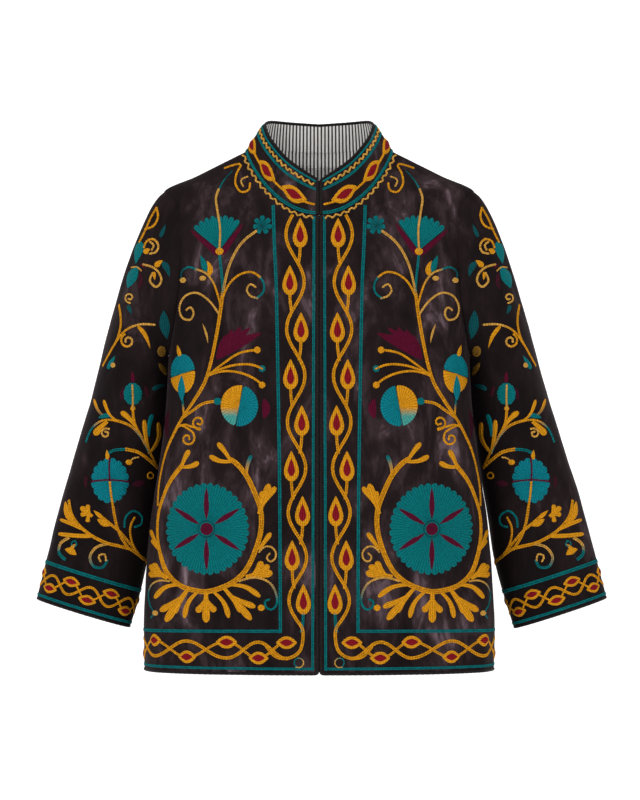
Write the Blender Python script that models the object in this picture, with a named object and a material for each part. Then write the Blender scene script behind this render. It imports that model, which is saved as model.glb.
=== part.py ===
"""A hip-length velvet jacket with a stand collar, filled out as if worn, with no wearer inside.

The torso form is a stack of level sections from the hem to the neck point. Every body panel is
cut out of that form, the sleeves and the collar start at the edges that the panels leave, and the
bound edges follow the panels' own points. Run it with: blender --background --python part.py
The jacket faces -Y, the wearer's left is +X, and the origin is between the two neck points, where
the shoulders carry it. Sizes are in millimetres until a point becomes a vertex.
"""

import math

import bmesh
import bpy
import numpy as np

MM = 0.001

# Cloth and seams
CLOTH = 2.0
LINING = 0.8
SEAM_GAP = 0.3
BINDING_RADIUS = 1.5
BINDING_END = 0.6
OPENING = 0.8
FRONT_EDGE = OPENING + 2 * BINDING_RADIUS + SEAM_GAP

# Heights, below the neck point
HEM = -643.5
ARMPIT = -255.0
SHOULDER_POINT = -51.0

# Neckline, armhole and collar
NECK_HALF_WIDTH = 92.5
FRONT_NECK_DROP = 81.0
BACK_NECK_DROP = 15.0
FRONT_NECK_POWER = 1.6
BACK_NECK_POWER = 1.3
ARMHOLE_FRONT = 51.0
ARMHOLE_BACK = 50.0
ARMHOLE_SKEW = 0.12
COLLAR_TOP_HALF_WIDTH = 70.0
COLLAR_TOP_FRONT = 49.0
COLLAR_TOP_BACK = 55.0
COLLAR_BULGE = 1.2

# Height of the collar's top edge, by degrees round it from the centre front to the centre back
COLLAR_TURNS = (0, 30, 60, 90, 120, 150, 180)
COLLAR_TOP = (-37, -15, 12, 33, 38, 36.5, 34.5)

# Fullness of the sleeve head: reach at the armpit, and what the shoulder side adds to it
CAP_LEAVE = (8, 22)
CAP_ARRIVE = (10, 62)

# Direction in which the sleeve leaves the armhole: outwards, to the front, up, and down outside
CAP_START = (0.9, 0.22, 0.1, 0.5)

NECK_LINING_ROWS = 4

# How fast a fold dies away: e to the minus this at its half width
BELL_FALL = 2.2

# How finely each piece is divided
SIDE_ROWS = 13
ARMHOLE_ROWS = 12
FRONT_NECK_COLUMNS = 8
BACK_NECK_COLUMNS = 6
SHOULDER_COLUMNS = 6
COLLAR_ROWS = 3
CAP_ROWS = 7
ARM_ROWS = 12
RING_SAMPLES = 181

# The torso form: height, half width, front depth, back depth, squareness of the section
TORSO_COLUMNS = ("height", "half_width", "front", "back", "square")
TORSO = [
    (-660, 218, 127, 115, 2.30),
    (-600, 219, 126, 111, 2.32),
    (-540, 217, 125, 107, 2.35),
    (-480, 212, 124, 104, 2.38),
    (-420, 204, 123, 103, 2.40),
    (-360, 196, 122, 105, 2.42),
    (-300, 190, 119, 108, 2.42),
    (-240, 188, 113, 111, 2.40),
    (-180, 189, 101, 109, 2.35),
    (-120, 191, 82, 101, 2.20),
    (-81, 193, 63, 92, 2.00),
    (-51, 194, 48, 82, 1.85),
    (-30, 152.5, 35, 72, 1.80),
    (-15, 122.5, 25, 62, 1.80),
    (0, 92.5, 14, 50, 1.80),
]

# Soft folds of the body: bearing from the centre front and its half width in degrees, height of
# the middle and half length, lean in degrees for each 100 mm up, depth (below 0 is a trough)
BODY_FOLDS = [
    (38, 9, -175, 75, 9, -3.6),
    (-35, 9, -190, 80, 10, -4.0),
    (52, 9, -300, 140, -3, 3.0),
    (-48, 9, -330, 120, -3, 2.8),
    (66, 10, -570, 150, 2, 4.5),
    (-62, 10, -555, 160, 2, 4.0),
    (27, 9, -610, 120, 0, -2.6),
    (-24, 9, -600, 130, 0, -2.8),
    (104, 10, -570, 150, -2, -5.0),
    (-108, 10, -560, 150, -2, -4.6),
    (134, 11, -540, 190, 1, 5.0),
    (-130, 11, -560, 180, 1, 5.4),
    (163, 10, -520, 210, 0, -4.4),
    (-157, 10, -540, 200, 0, -4.2),
    (146, 9, -185, 90, -8, -3.8),
    (-149, 9, -195, 95, -8, -4.2),
]

# The sleeve below the armpit: height, place across and place back of each ring's centre, half
# width, half depth, tilt of the ring in degrees
ARM_COLUMNS = ("height", "across", "back", "half_width", "half_depth", "tilt")
ARM = [
    (-268, 231.5, 24, 43.5, 55, 8),
    (-315, 238.5, 30, 48.5, 55, 9),
    (-360, 247.5, 34, 53, 54, 10),
    (-405, 257.5, 36, 56.5, 51, 11),
    (-450, 267.5, 36, 59.5, 48, 12.5),
    (-495, 276.5, 33, 62, 45, 14),
    (-540, 287.5, 28, 62.3, 42, 16),
    (-575, 297, 24, 61.2, 39, 17.2),
]

# Soft folds of a sleeve: bearing round the arm (0 outside, 90 front, 180 inside) and its half
# width in degrees, share of the way down and half length, lean in degrees over the sleeve, depth
SLEEVE_FOLDS = [
    (60, 26, 0.16, 0.12, 90, -2.6),
    (120, 24, 0.30, 0.10, 60, 2.4),
    (75, 30, 0.52, 0.05, -160, -2.4),
    (110, 28, 0.60, 0.045, -180, 2.2),
    (30, 26, 0.70, 0.16, 40, 1.8),
    (285, 28, 0.34, 0.12, 60, -3.0),
    (250, 26, 0.55, 0.06, 150, 2.8),
    (300, 26, 0.72, 0.15, -50, -2.4),
]

# Shares of the sleeve next to the armhole and the cuff where its folds die out
SLEEVE_CALM = (0.12, 0.04)

# Each sleeve hangs a little differently: name, side, extra swing outwards in degrees
SLEEVES = [("left", 1, 0.9), ("right", -1, -0.3)]

VELVET = ("velvet", (0.022, 0.015, 0.016), 0.85)
BINDING = ("binding", (0.010, 0.008, 0.009), 0.75)
TICKING = ("striped_lining", (0.42, 0.40, 0.39), 0.80)


def through(heights, values):
    """A smooth function through the rows of a table, with no overshoot between them."""
    xs = np.array(heights, float)
    ys = np.array(values, float)
    slopes = np.diff(ys) / np.diff(xs)
    tangents = np.zeros(len(xs))
    tangents[0], tangents[-1] = slopes[0], slopes[-1]
    for i in range(1, len(xs) - 1):
        if slopes[i - 1] * slopes[i] > 0:
            tangents[i] = 2 * slopes[i - 1] * slopes[i] / (slopes[i - 1] + slopes[i])

    def at(x):
        x = np.asarray(x, float)
        i = np.clip(np.searchsorted(xs, x) - 1, 0, len(xs) - 2)
        span = xs[i + 1] - xs[i]
        t = (x - xs[i]) / span
        return (
            (1 + 2 * t) * (1 - t) ** 2 * ys[i]
            + t * (1 - t) ** 2 * span * tangents[i]
            + t * t * (3 - 2 * t) * ys[i + 1]
            + t * t * (t - 1) * span * tangents[i + 1]
        )

    return at


def columns_of(table, names):
    """Each column of a table as a smooth function of its first column."""
    rows = sorted(table)
    heights = [row[0] for row in rows]
    return {n: through(heights, [row[i] for row in rows]) for i, n in enumerate(names)}


TORSO_AT = columns_of(TORSO, TORSO_COLUMNS)
ARM_AT = columns_of(ARM, ARM_COLUMNS)


def bell(distance, half):
    """A soft hump, 1 in the middle and near 0 at the half width."""
    return np.exp(-BELL_FALL * (distance / half) ** 2)


def body_folds(bearing, height):
    """How far the folds push the torso form out at a bearing in degrees and a height."""
    push = np.zeros(np.broadcast(bearing, height).shape)
    for middle, breadth, level, length, lean, depth in BODY_FOLDS:
        line = middle + lean * (height - level) / 100
        push += depth * bell(bearing - line, breadth) * bell(height - level, length)
    return push


def torso(bearing, height):
    """Points of the torso form. The bearing is in degrees from the centre front, + to the left."""
    bearing, height = np.broadcast_arrays(np.asarray(bearing, float), np.asarray(height, float))
    angle = np.radians(bearing)
    power = 2 / TORSO_AT["square"](height)
    across, along = np.sin(angle), np.cos(angle)
    depth = np.where(along > 0, TORSO_AT["front"](height), TORSO_AT["back"](height))
    x = TORSO_AT["half_width"](height) * np.sign(across) * np.abs(across) ** power
    y = -depth * np.sign(along) * np.abs(along) ** power
    reach = np.maximum(np.hypot(x, y), 1.0)
    push = body_folds(bearing, height)
    return np.stack([x * (1 + push / reach), y * (1 + push / reach), height], axis=-1)


def outward(bearing, height, step=1.5):
    """The torso form's outward direction. On the shoulder ridge it is the mean of both slopes."""
    round_it = torso(bearing + step, height) - torso(bearing - step, height)
    up_it = torso(bearing, height) - torso(bearing, np.asarray(height) - 2 * step)
    normal = np.cross(round_it, up_it)
    return normal / np.linalg.norm(normal, axis=-1, keepdims=True)


def bearing_at(height, distance, from_back=False):
    """The bearing, 0 to 180, whose distance along the cloth from the centre line is given."""
    height, distance = np.broadcast_arrays(np.asarray(height, float), np.asarray(distance, float))
    angles = np.linspace(0, 180, RING_SAMPLES)
    if from_back:
        angles = angles[::-1]
    ring = torso(angles, height.reshape(-1, 1))
    steps = np.linalg.norm(np.diff(ring, axis=1), axis=-1)
    lengths = np.concatenate([np.zeros((len(ring), 1)), np.cumsum(steps, axis=1)], axis=1)
    flat = distance.reshape(-1)
    found = [np.interp(d, lengths[i], angles) for i, d in enumerate(flat)]
    return np.array(found).reshape(height.shape)


def girth_to(height, bearing, from_back=False):
    """The distance along the cloth from the centre line to a bearing, at each height."""
    start = 180 if from_back else 0
    share = np.linspace(0, 1, RING_SAMPLES)
    height, bearing = np.broadcast_arrays(np.asarray(height, float), np.asarray(bearing, float))
    angles = start + (bearing[..., None] - start) * share
    ring = torso(angles, height[..., None])
    return np.linalg.norm(np.diff(ring, axis=-2), axis=-1).sum(axis=-1)


def neckline(columns, from_back=False):
    """Bearings and heights along half the neckline, from the centre to the neck point."""
    turn = np.linspace(0, math.pi / 2, columns + 1)
    if from_back:
        x = NECK_HALF_WIDTH * np.sin(turn)
        height = -BACK_NECK_DROP * np.cos(turn) ** BACK_NECK_POWER
    else:
        x = FRONT_EDGE + (NECK_HALF_WIDTH - FRONT_EDGE) * np.sin(turn)
        height = -FRONT_NECK_DROP * np.cos(turn) ** FRONT_NECK_POWER
    share = np.clip(x / TORSO_AT["half_width"](height), 0, 1)
    bearing = np.degrees(np.arcsin(share ** (TORSO_AT["square"](height) / 2)))
    return (180 - bearing if from_back else bearing), height


def armhole(from_back=False):
    """Height and distance in from the side line, from the armpit up to the shoulder point."""
    turn = np.linspace(0, math.pi, ARMHOLE_ROWS + 1)
    middle = (ARMPIT + SHOULDER_POINT) / 2
    height = middle - (SHOULDER_POINT - ARMPIT) / 2 * np.cos(turn)
    deep = ARMHOLE_BACK if from_back else ARMHOLE_FRONT
    inset = deep * np.sin(turn) * (1 + ARMHOLE_SKEW * np.cos(turn))
    return height, inset


def panel_grid(from_back=False):
    """Bearings and heights of half a body panel, rows from the hem up, columns to the side.

    Rows are level below the armpit. Above it they are blended between the armpit level, the
    centre line, the armhole, and the neckline with the shoulder seam.
    """
    neck_columns = BACK_NECK_COLUMNS if from_back else FRONT_NECK_COLUMNS
    columns = neck_columns + SHOULDER_COLUMNS
    u = np.linspace(0, 1, columns + 1)
    centre = 0.0 if from_back else FRONT_EDGE
    seam = SEAM_GAP / 2

    def side(height):
        return girth_to(height, 90.0, from_back) - seam

    levels = np.linspace(HEM, ARMPIT, SIDE_ROWS + 1)
    low = [np.stack([centre + (side(z) - centre) * u, np.full_like(u, z)], axis=-1) for z in levels]

    neck_bearing, neck_height = neckline(neck_columns, from_back)
    neck = np.stack([girth_to(neck_height, neck_bearing, from_back), neck_height], axis=-1)
    neck[-1, 0] = side(0.0)
    slope = np.linspace(0, SHOULDER_POINT, SHOULDER_COLUMNS + 1)[1:]
    top = np.concatenate([neck, np.stack([side(slope), slope], axis=-1)])
    arm_height, inset = armhole(from_back)
    inset[0] = inset[-1] = 0
    right = np.stack([side(arm_height) - inset, arm_height], axis=-1)
    left_height = np.linspace(ARMPIT, neck_height[0], ARMHOLE_ROWS + 1)
    left = np.stack([np.full_like(left_height, centre), left_height], axis=-1)
    bottom = low[-1]

    high = []
    for j, v in enumerate(np.linspace(0, 1, ARMHOLE_ROWS + 1)[1:], start=1):
        across = (1 - u)[:, None] * left[j] + u[:, None] * right[j]
        upward = (1 - v) * bottom + v * top
        corners = (1 - u)[:, None] * ((1 - v) * left[0] + v * left[-1])
        corners = corners + u[:, None] * ((1 - v) * right[0] + v * right[-1])
        high.append(across + upward - corners)
    flat = np.array(low + high)
    bearing = bearing_at(flat[..., 1], flat[..., 0], from_back)
    return bearing, flat[..., 1]


def tidy_normals(body):
    bmesh.ops.recalc_face_normals(body, faces=body.faces)


def make_object(name, body, finish, shade_angle=40):
    mesh = bpy.data.meshes.new(name)
    body.to_mesh(mesh)
    body.free()
    mesh.shade_smooth()
    mesh.set_sharp_from_angle(angle=math.radians(shade_angle))
    mesh.materials.append(material(*finish))
    made = bpy.data.objects.new(name, mesh)
    jacket.objects.link(made)
    return made


def material(name, colour, roughness):
    found = bpy.data.materials.get(name)
    if found:
        return found
    made = bpy.data.materials.new(name)
    made.use_nodes = True
    shader = made.node_tree.nodes["Principled BSDF"]
    shader.inputs["Base Color"].default_value = (*colour, 1)
    shader.inputs["Roughness"].default_value = roughness
    made.diffuse_color = (*colour, 1)
    return made


def cloth_wall(name, outer, inner, finish, closed=False):
    """A wall between two grids of points, rows by columns. A closed grid joins its last column."""
    body = bmesh.new()
    rows, columns = outer.shape[:2]
    skins = []
    for grid in (outer, inner):
        skins.append([[body.verts.new(p * MM) for p in row] for row in grid])
    spans = range(columns if closed else columns - 1)
    for skin in skins:
        for j in range(rows - 1):
            for i in spans:
                k = (i + 1) % columns
                body.faces.new((skin[j][i], skin[j][k], skin[j + 1][k], skin[j + 1][i]))
    out, lin = skins
    for j in (0, rows - 1):
        for i in spans:
            k = (i + 1) % columns
            body.faces.new((out[j][i], out[j][k], lin[j][k], lin[j][i]))
    if not closed:
        for i in (0, columns - 1):
            for j in range(rows - 1):
                body.faces.new((out[j][i], out[j + 1][i], lin[j + 1][i], lin[j][i]))
    tidy_normals(body)
    return make_object(name, body, finish)


def bound_edge(name, path, radius=BINDING_RADIUS, closed=False):
    """A round corded binding along a path of points."""
    curve = bpy.data.curves.new(name, "CURVE")
    curve.dimensions = "3D"
    curve.bevel_depth = radius * MM
    curve.bevel_resolution = 2
    curve.use_fill_caps = not closed
    spline = curve.splines.new("POLY")
    spline.points.add(len(path) - 1)
    for point, place in zip(spline.points, path):
        point.co = (*(np.asarray(place) * MM), 1)
    spline.use_cyclic_u = closed
    curve.materials.append(material(*BINDING))
    made = bpy.data.objects.new(name, curve)
    jacket.objects.link(made)
    return made


def half_panel(side, from_back=False):
    """Outer points and outward directions of half a body panel on one side, +1 left or -1."""
    bearing, height = panel_grid(from_back)
    return torso(side * bearing, height), outward(side * bearing, height)


def make_fronts():
    """The two fronts, each from its bound front edge to the side seam. Gives their walls."""
    walls = {}
    for name, side, _ in SLEEVES:
        points, normals = half_panel(side)
        cloth_wall(f"front_{name}", points, points - CLOTH * normals, VELVET)
        walls[name] = (points, normals)
    return walls


def make_back():
    """The back in one piece, with the striped lining that shows below the collar."""
    left, left_normals = half_panel(1, from_back=True)
    right, right_normals = half_panel(-1, from_back=True)
    points = np.concatenate([right[:, :0:-1], left], axis=1)
    normals = np.concatenate([right_normals[:, :0:-1], left_normals], axis=1)
    cloth_wall("back", points, points - CLOTH * normals, VELVET)
    middle = points.shape[1] // 2
    reach = BACK_NECK_COLUMNS
    near = (slice(-1 - NECK_LINING_ROWS, None), slice(middle - reach, middle + reach + 1))
    outer = points[near] - (CLOTH + SEAM_GAP) * normals[near]
    inner = outer - LINING * normals[near]
    cloth_wall("back_neck_lining", outer, inner, TICKING)
    return points, normals


def make_collar():
    """The stand collar and its striped lining, from one neckline front to the other."""
    front_bearing, front_height = neckline(FRONT_NECK_COLUMNS)
    back_bearing, back_height = neckline(BACK_NECK_COLUMNS, from_back=True)
    half_bearing = np.concatenate([front_bearing, back_bearing[-2::-1]])
    half_height = np.concatenate([front_height, back_height[-2::-1]])
    bearing = np.concatenate([-half_bearing, half_bearing[-2::-1]])
    height = np.concatenate([half_height, half_height[-2::-1]])
    base = torso(bearing, height)
    base_out = outward(bearing, height)
    along = np.gradient(base, axis=0)
    upward = np.cross(base_out, along)
    upward /= np.linalg.norm(upward, axis=-1, keepdims=True)
    upward *= np.sign(upward[:, 2:3])
    base = base + SEAM_GAP * upward

    front_turn = np.linspace(0, 90, FRONT_NECK_COLUMNS + 1)
    back_turn = 180 - np.linspace(0, 90, BACK_NECK_COLUMNS + 1)[-2::-1]
    half_turn = np.concatenate([front_turn, back_turn])
    turn = np.concatenate([-half_turn, half_turn[-2::-1]])
    top_height = through(COLLAR_TURNS, COLLAR_TOP)
    angle = np.radians(turn)
    side = np.sign(turn) + (turn == 0)
    side[0], side[-1] = -1, 1
    x = side * FRONT_EDGE * (np.abs(turn) < 90) + np.where(
        np.abs(turn) < 90,
        (COLLAR_TOP_HALF_WIDTH - FRONT_EDGE) * np.sin(angle),
        COLLAR_TOP_HALF_WIDTH * np.sin(angle),
    )
    reach = np.where(np.abs(turn) < 90, COLLAR_TOP_FRONT, COLLAR_TOP_BACK)
    top = np.stack([x, -reach * np.cos(angle), top_height(np.abs(turn))], axis=-1)

    rise = np.linspace(0, 1, COLLAR_ROWS + 1)[:, None, None]
    points = base * (1 - rise) + top * rise
    round_it = np.gradient(points, axis=1)
    up_it = np.gradient(points, axis=0)
    normals = np.cross(round_it, up_it)
    normals /= np.linalg.norm(normals, axis=-1, keepdims=True)
    normals *= np.sign((normals * points * [1, 1, 0]).sum(axis=-1, keepdims=True))
    normals[0] = base_out
    points = points + COLLAR_BULGE * 4 * rise * (1 - rise) * normals
    inner = points - CLOTH * normals
    cloth_wall("collar", points, inner, VELVET)
    lining_outer = inner - SEAM_GAP * normals
    lining_inner = lining_outer - LINING * normals
    cloth_wall("collar_lining", lining_outer[1:], lining_inner[1:], TICKING)
    return points, normals


def armhole_loop(side):
    """The armhole from the armpit up the front to the shoulder point and down the back."""
    height, inset = armhole()
    front_bearing = bearing_at(height, girth_to(height, 90.0) - inset)
    front_bearing[0] = front_bearing[-1] = 90
    back_height, back_inset = armhole(from_back=True)
    back_bearing = bearing_at(back_height, girth_to(back_height, 90.0, True) - back_inset, True)
    bearing = np.concatenate([front_bearing, back_bearing[-2:0:-1]]) * side
    height = np.concatenate([height, back_height[-2:0:-1]])
    points = torso(bearing, height)
    normals = outward(bearing, height)
    along = (np.roll(points, -1, axis=0) - np.roll(points, 1, axis=0)) * side
    into_hole = np.cross(normals, along)
    into_hole /= np.linalg.norm(into_hole, axis=-1, keepdims=True)
    centre = points.mean(axis=0)
    facing = np.sign(((centre - points) * into_hole).sum(axis=-1, keepdims=True))
    return points + SEAM_GAP * facing * into_hole, normals


def sleeve_folds(turn, down):
    """How far the folds push the sleeve out, at a bearing round the arm and a share down it."""
    push = np.zeros(np.broadcast(turn, down).shape)
    for middle, breadth, level, length, lean, depth in SLEEVE_FOLDS:
        apart = (turn - middle - lean * (down - level) + 180) % 360 - 180
        push += depth * bell(apart, breadth) * bell(down - level, length)
    near_seam = np.clip(down / SLEEVE_CALM[0], 0, 1)
    near_cuff = np.clip((1 - down) / SLEEVE_CALM[1], 0, 1)
    return push * near_seam * near_cuff


def arm_ring(height, turn, swing):
    """Points round the sleeve at one height, for bearings round the arm in degrees."""
    row = {n: float(ARM_AT[n](height)) for n in ARM_COLUMNS}
    hang = ARMPIT - row["height"]
    across = row["across"] + math.tan(math.radians(swing)) * hang
    tilt = math.radians(row["tilt"] + swing)
    angle = np.radians(turn)
    wide = row["half_width"] * np.cos(angle)
    return np.stack(
        [
            across + wide * math.cos(tilt),
            row["back"] - row["half_depth"] * np.sin(angle),
            row["height"] + wide * math.sin(tilt),
        ],
        axis=-1,
    )


def sleeve_grid(side, swing):
    """Outer points of a sleeve, rows from the armhole down to the cuff, on the +X side."""
    loop, loop_normals = armhole_loop(1)
    count = len(loop)
    turn = 180 - 360 * np.arange(count) / count
    heights = np.linspace(ARM[0][0], ARM[-1][0], ARM_ROWS + 1)
    rings = [arm_ring(z, turn, swing) for z in heights]
    angle = np.radians(turn)
    outside = (1 + np.cos(angle)) / 2
    out, ahead, up, drop = CAP_START
    start = np.stack([out + 0 * angle, -ahead * np.sin(angle), up - drop * outside], axis=-1)
    start /= np.linalg.norm(start, axis=-1, keepdims=True)
    leave = (CAP_LEAVE[0] + CAP_LEAVE[1] * outside)[:, None]
    arrive = (CAP_ARRIVE[0] + CAP_ARRIVE[1] * outside)[:, None]
    down = rings[1] - rings[0]
    down /= np.linalg.norm(down, axis=-1, keepdims=True)
    first, last = loop, rings[0]
    rows = []
    for t in np.linspace(0, 1, CAP_ROWS + 1)[:-1]:
        rows.append(
            (1 - t) ** 3 * first
            + 3 * (1 - t) ** 2 * t * (first + leave * start)
            + 3 * (1 - t) * t**2 * (last - arrive * down)
            + t**3 * last
        )
    points = np.array(rows + rings)
    round_it = np.roll(points, -1, axis=1) - np.roll(points, 1, axis=1)
    down_it = np.gradient(points, axis=0)
    normals = np.cross(down_it, round_it)
    normals /= np.linalg.norm(normals, axis=-1, keepdims=True)
    centres = points.mean(axis=1, keepdims=True)
    normals *= np.sign(((points - centres) * normals)[len(rows) + 2].sum(axis=-1).mean())
    share = np.linspace(0, 1, len(points))[:, None]
    points = points + sleeve_folds(turn[None, :], share)[..., None] * normals
    normals[0] = loop_normals
    mirror = np.array([side, 1, 1])
    return points * mirror, normals * mirror


def make_sleeves():
    """Both sleeves as open tubes, each with the bound edge of its cuff."""
    for name, side, swing in SLEEVES:
        points, normals = sleeve_grid(side, swing)
        cloth_wall(f"sleeve_{name}", points, points - CLOTH * normals, VELVET, closed=True)
        onward = points[-1] - points[-2]
        onward /= np.linalg.norm(onward, axis=-1, keepdims=True)
        path = edge_path(points[-1], normals[-1], onward)
        bound_edge(f"cuff_binding_{name}", path, closed=True)


def edge_path(points, normals, onward, wall=CLOTH):
    """The middle of a binding that lies a seam gap beyond an edge of the cloth."""
    return points - wall / 2 * normals + (BINDING_RADIUS + SEAM_GAP) * onward


def unit_steps(a, b):
    step = a - b
    return step / np.linalg.norm(step, axis=-1, keepdims=True)


def round_corner(first, second, corner):
    """The three points that take a binding round a corner of the cloth."""
    seat = BINDING_RADIUS + SEAM_GAP
    halfway = (first + second) / 2 - corner
    return [first, corner + seat * halfway / np.linalg.norm(halfway), second]


def make_bindings(fronts, back, collar):
    """Corded edges: down each front and along its hem, along the back's hem, round the collar."""
    for name, (points, normals) in fronts.items():
        inward = unit_steps(points[:, 0], points[:, 1])
        downward = unit_steps(points[0], points[1])
        upright = edge_path(points[:, 0], normals[:, 0], inward)
        level = edge_path(points[0], normals[0], downward)
        upright[-1] += BINDING_END * unit_steps(upright[-2], upright[-1])
        level[-1] += SEAM_GAP * unit_steps(level[-2], level[-1])
        corner = points[0, 0] - CLOTH / 2 * normals[0, 0]
        path = [*upright[:0:-1], *round_corner(upright[0], level[0], corner), *level[1:]]
        bound_edge(f"front_binding_{name}", path)
    points, normals = back
    downward = unit_steps(points[0], points[1])
    bound_edge("back_hem_binding", edge_path(points[0], normals[0], downward))

    points, normals = collar
    wall = CLOTH + SEAM_GAP + LINING
    upward = unit_steps(points[-1], points[-2])
    top = edge_path(points[-1], normals[-1], upward, wall)
    path = list(top[1:-1])
    for last, near in ((0, 1), (-1, -2)):
        sideways = unit_steps(points[:, last], points[:, near])
        end = edge_path(points[:, last], normals[:, last], sideways, wall)
        end[0] += BINDING_END * unit_steps(end[1], end[0])
        corner = points[-1, last] - wall / 2 * normals[-1, last]
        turned = [*end[:-1], *round_corner(end[-1], top[last], corner)]
        path = [*turned, *path] if last == 0 else [*path, *turned[::-1]]
    bound_edge("collar_binding", path)


def clear_scene():
    for thing in list(bpy.data.objects):
        bpy.data.objects.remove(thing)


clear_scene()
jacket = bpy.data.collections.new("velvet_jacket")
bpy.context.scene.collection.children.link(jacket)
front_walls = make_fronts()
back_wall = make_back()
collar_wall = make_collar()
make_sleeves()
make_bindings(front_walls, back_wall, collar_wall)
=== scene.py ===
import math

import bmesh
import bpy
import numpy as np
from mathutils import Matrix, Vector, noise
from mathutils.bvhtree import BVHTree
from mathutils.geometry import barycentric_transform


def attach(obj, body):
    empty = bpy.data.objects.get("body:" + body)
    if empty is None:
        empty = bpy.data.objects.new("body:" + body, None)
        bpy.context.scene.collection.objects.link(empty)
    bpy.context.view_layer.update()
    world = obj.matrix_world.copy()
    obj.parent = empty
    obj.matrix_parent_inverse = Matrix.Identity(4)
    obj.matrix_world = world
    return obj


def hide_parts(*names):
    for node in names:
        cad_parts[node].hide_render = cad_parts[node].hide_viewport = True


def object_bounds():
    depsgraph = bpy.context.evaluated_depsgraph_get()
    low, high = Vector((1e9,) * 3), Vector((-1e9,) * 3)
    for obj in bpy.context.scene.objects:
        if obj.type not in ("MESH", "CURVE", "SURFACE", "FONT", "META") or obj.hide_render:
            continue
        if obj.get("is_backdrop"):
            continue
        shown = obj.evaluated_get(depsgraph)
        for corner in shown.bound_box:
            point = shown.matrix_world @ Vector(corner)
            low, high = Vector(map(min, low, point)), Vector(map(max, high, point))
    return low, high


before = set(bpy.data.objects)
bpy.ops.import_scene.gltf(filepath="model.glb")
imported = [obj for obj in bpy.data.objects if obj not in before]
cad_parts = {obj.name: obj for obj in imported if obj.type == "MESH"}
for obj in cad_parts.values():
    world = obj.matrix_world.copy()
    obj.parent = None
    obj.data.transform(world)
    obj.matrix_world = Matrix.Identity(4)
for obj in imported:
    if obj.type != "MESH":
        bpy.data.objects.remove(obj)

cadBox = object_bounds()
mm = 0.001

# The jacket faces -Y and the wearer's left is +X. Lengths here are in millimetres.
form = {
    "hem": -643.5,
    "armpit": -255.0,
    "shoulderPoint": -51.0,
    "neckHalfWidth": 92.5,
    "frontNeckDrop": 81.0,
    "backNeckDrop": 15.0,
    "frontNeckPower": 1.6,
    "backNeckPower": 1.3,
    "armholeFront": 51.0,
    "armholeBack": 50.0,
    "armholeSkew": 0.12,
    "cloth": 2.0,
    "lining": 0.8,
    "seamGap": 0.3,
    "cord": 1.5,
    "frontEdge": 4.1,
}

# height, half width, front depth, back depth, squareness of the section
torsoRows = [
    (-660, 218, 127, 115, 2.30),
    (-600, 219, 126, 111, 2.32),
    (-540, 217, 125, 107, 2.35),
    (-480, 212, 124, 104, 2.38),
    (-420, 204, 123, 103, 2.40),
    (-360, 196, 122, 105, 2.42),
    (-300, 190, 119, 108, 2.42),
    (-240, 188, 113, 111, 2.40),
    (-180, 189, 101, 109, 2.35),
    (-120, 191, 82, 101, 2.20),
    (-81, 193, 63, 92, 2.00),
    (-51, 194, 48, 82, 1.85),
    (-30, 152.5, 35, 72, 1.80),
    (-15, 122.5, 25, 62, 1.80),
    (0, 92.5, 14, 50, 1.80),
]

# bearing from the centre front and half width in degrees, height of the middle and half length,
# lean in degrees for each 100 mm up, depth (below 0 is a trough)
bodyFolds = [
    (38, 9, -175, 75, 9, -3.6),
    (-35, 9, -190, 80, 10, -4.0),
    (52, 9, -300, 140, -3, 3.0),
    (-48, 9, -330, 120, -3, 2.8),
    (66, 10, -570, 150, 2, 4.5),
    (-62, 10, -555, 160, 2, 4.0),
    (27, 9, -610, 120, 0, -2.6),
    (-24, 9, -600, 130, 0, -2.8),
    (104, 10, -570, 150, -2, -5.0),
    (-108, 10, -560, 150, -2, -4.6),
    (134, 11, -540, 190, 1, 5.0),
    (-130, 11, -560, 180, 1, 5.4),
    (163, 10, -520, 210, 0, -4.4),
    (-157, 10, -540, 200, 0, -4.2),
    (146, 9, -185, 90, -8, -3.8),
    (-149, 9, -195, 95, -8, -4.2),
]

# the narrower creases of the worn velvet, in the same columns
bodyCreases = [
    (44, 3.2, -150, 46, 13, 1.3),
    (-41, 3.0, -160, 52, 12, 1.4),
    (58, 2.8, -215, 60, 14, -1.4),
    (-60, 3.2, -205, 55, 15, -1.2),
    (70, 3.4, -262, 60, 12, 1.3),
    (-73, 3.0, -250, 66, 10, 1.5),
    (22, 3.0, -330, 90, 2, -0.9),
    (-19, 3.0, -300, 80, -2, -0.9),
    (33, 2.6, -455, 70, 4, 0.9),
    (-36, 2.8, -430, 80, -3, 1.0),
    (80, 3.4, -420, 110, -3, 1.8),
    (-83, 3.6, -440, 100, 3, 1.7),
    (50, 2.8, -500, 60, 3, -0.9),
    (-54, 2.8, -520, 70, -2, -1.0),
    (12, 2.4, -560, 60, 1, 0.8),
    (98, 3.4, -330, 120, -4, -1.6),
    (-97, 3.4, -350, 110, 4, -1.7),
    (118, 3.6, -440, 130, 2, 1.7),
    (-120, 3.4, -400, 120, -3, 1.8),
    (140, 3.2, -330, 120, -5, -1.4),
    (-141, 3.4, -300, 110, 5, -1.5),
    (170, 3.2, -380, 150, 1, 1.2),
    (-167, 3.0, -410, 140, -1, 1.3),
    (128, 3.2, -170, 70, -12, 1.5),
    (-127, 3.2, -180, 75, -13, 1.4),
    (155, 2.8, -130, 60, -9, -1.1),
    (-158, 2.8, -120, 55, -8, -1.2),
]

# height, place across and back of each sleeve ring's centre, half width, half depth, tilt
armRows = [
    (-268, 231.5, 24, 43.5, 55, 8),
    (-315, 238.5, 30, 48.5, 55, 9),
    (-360, 247.5, 34, 53, 54, 10),
    (-405, 257.5, 36, 56.5, 51, 11),
    (-450, 267.5, 36, 59.5, 48, 12.5),
    (-495, 276.5, 33, 62, 45, 14),
    (-540, 287.5, 28, 62.3, 42, 16),
    (-575, 297, 24, 61.2, 39, 17.2),
]

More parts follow.
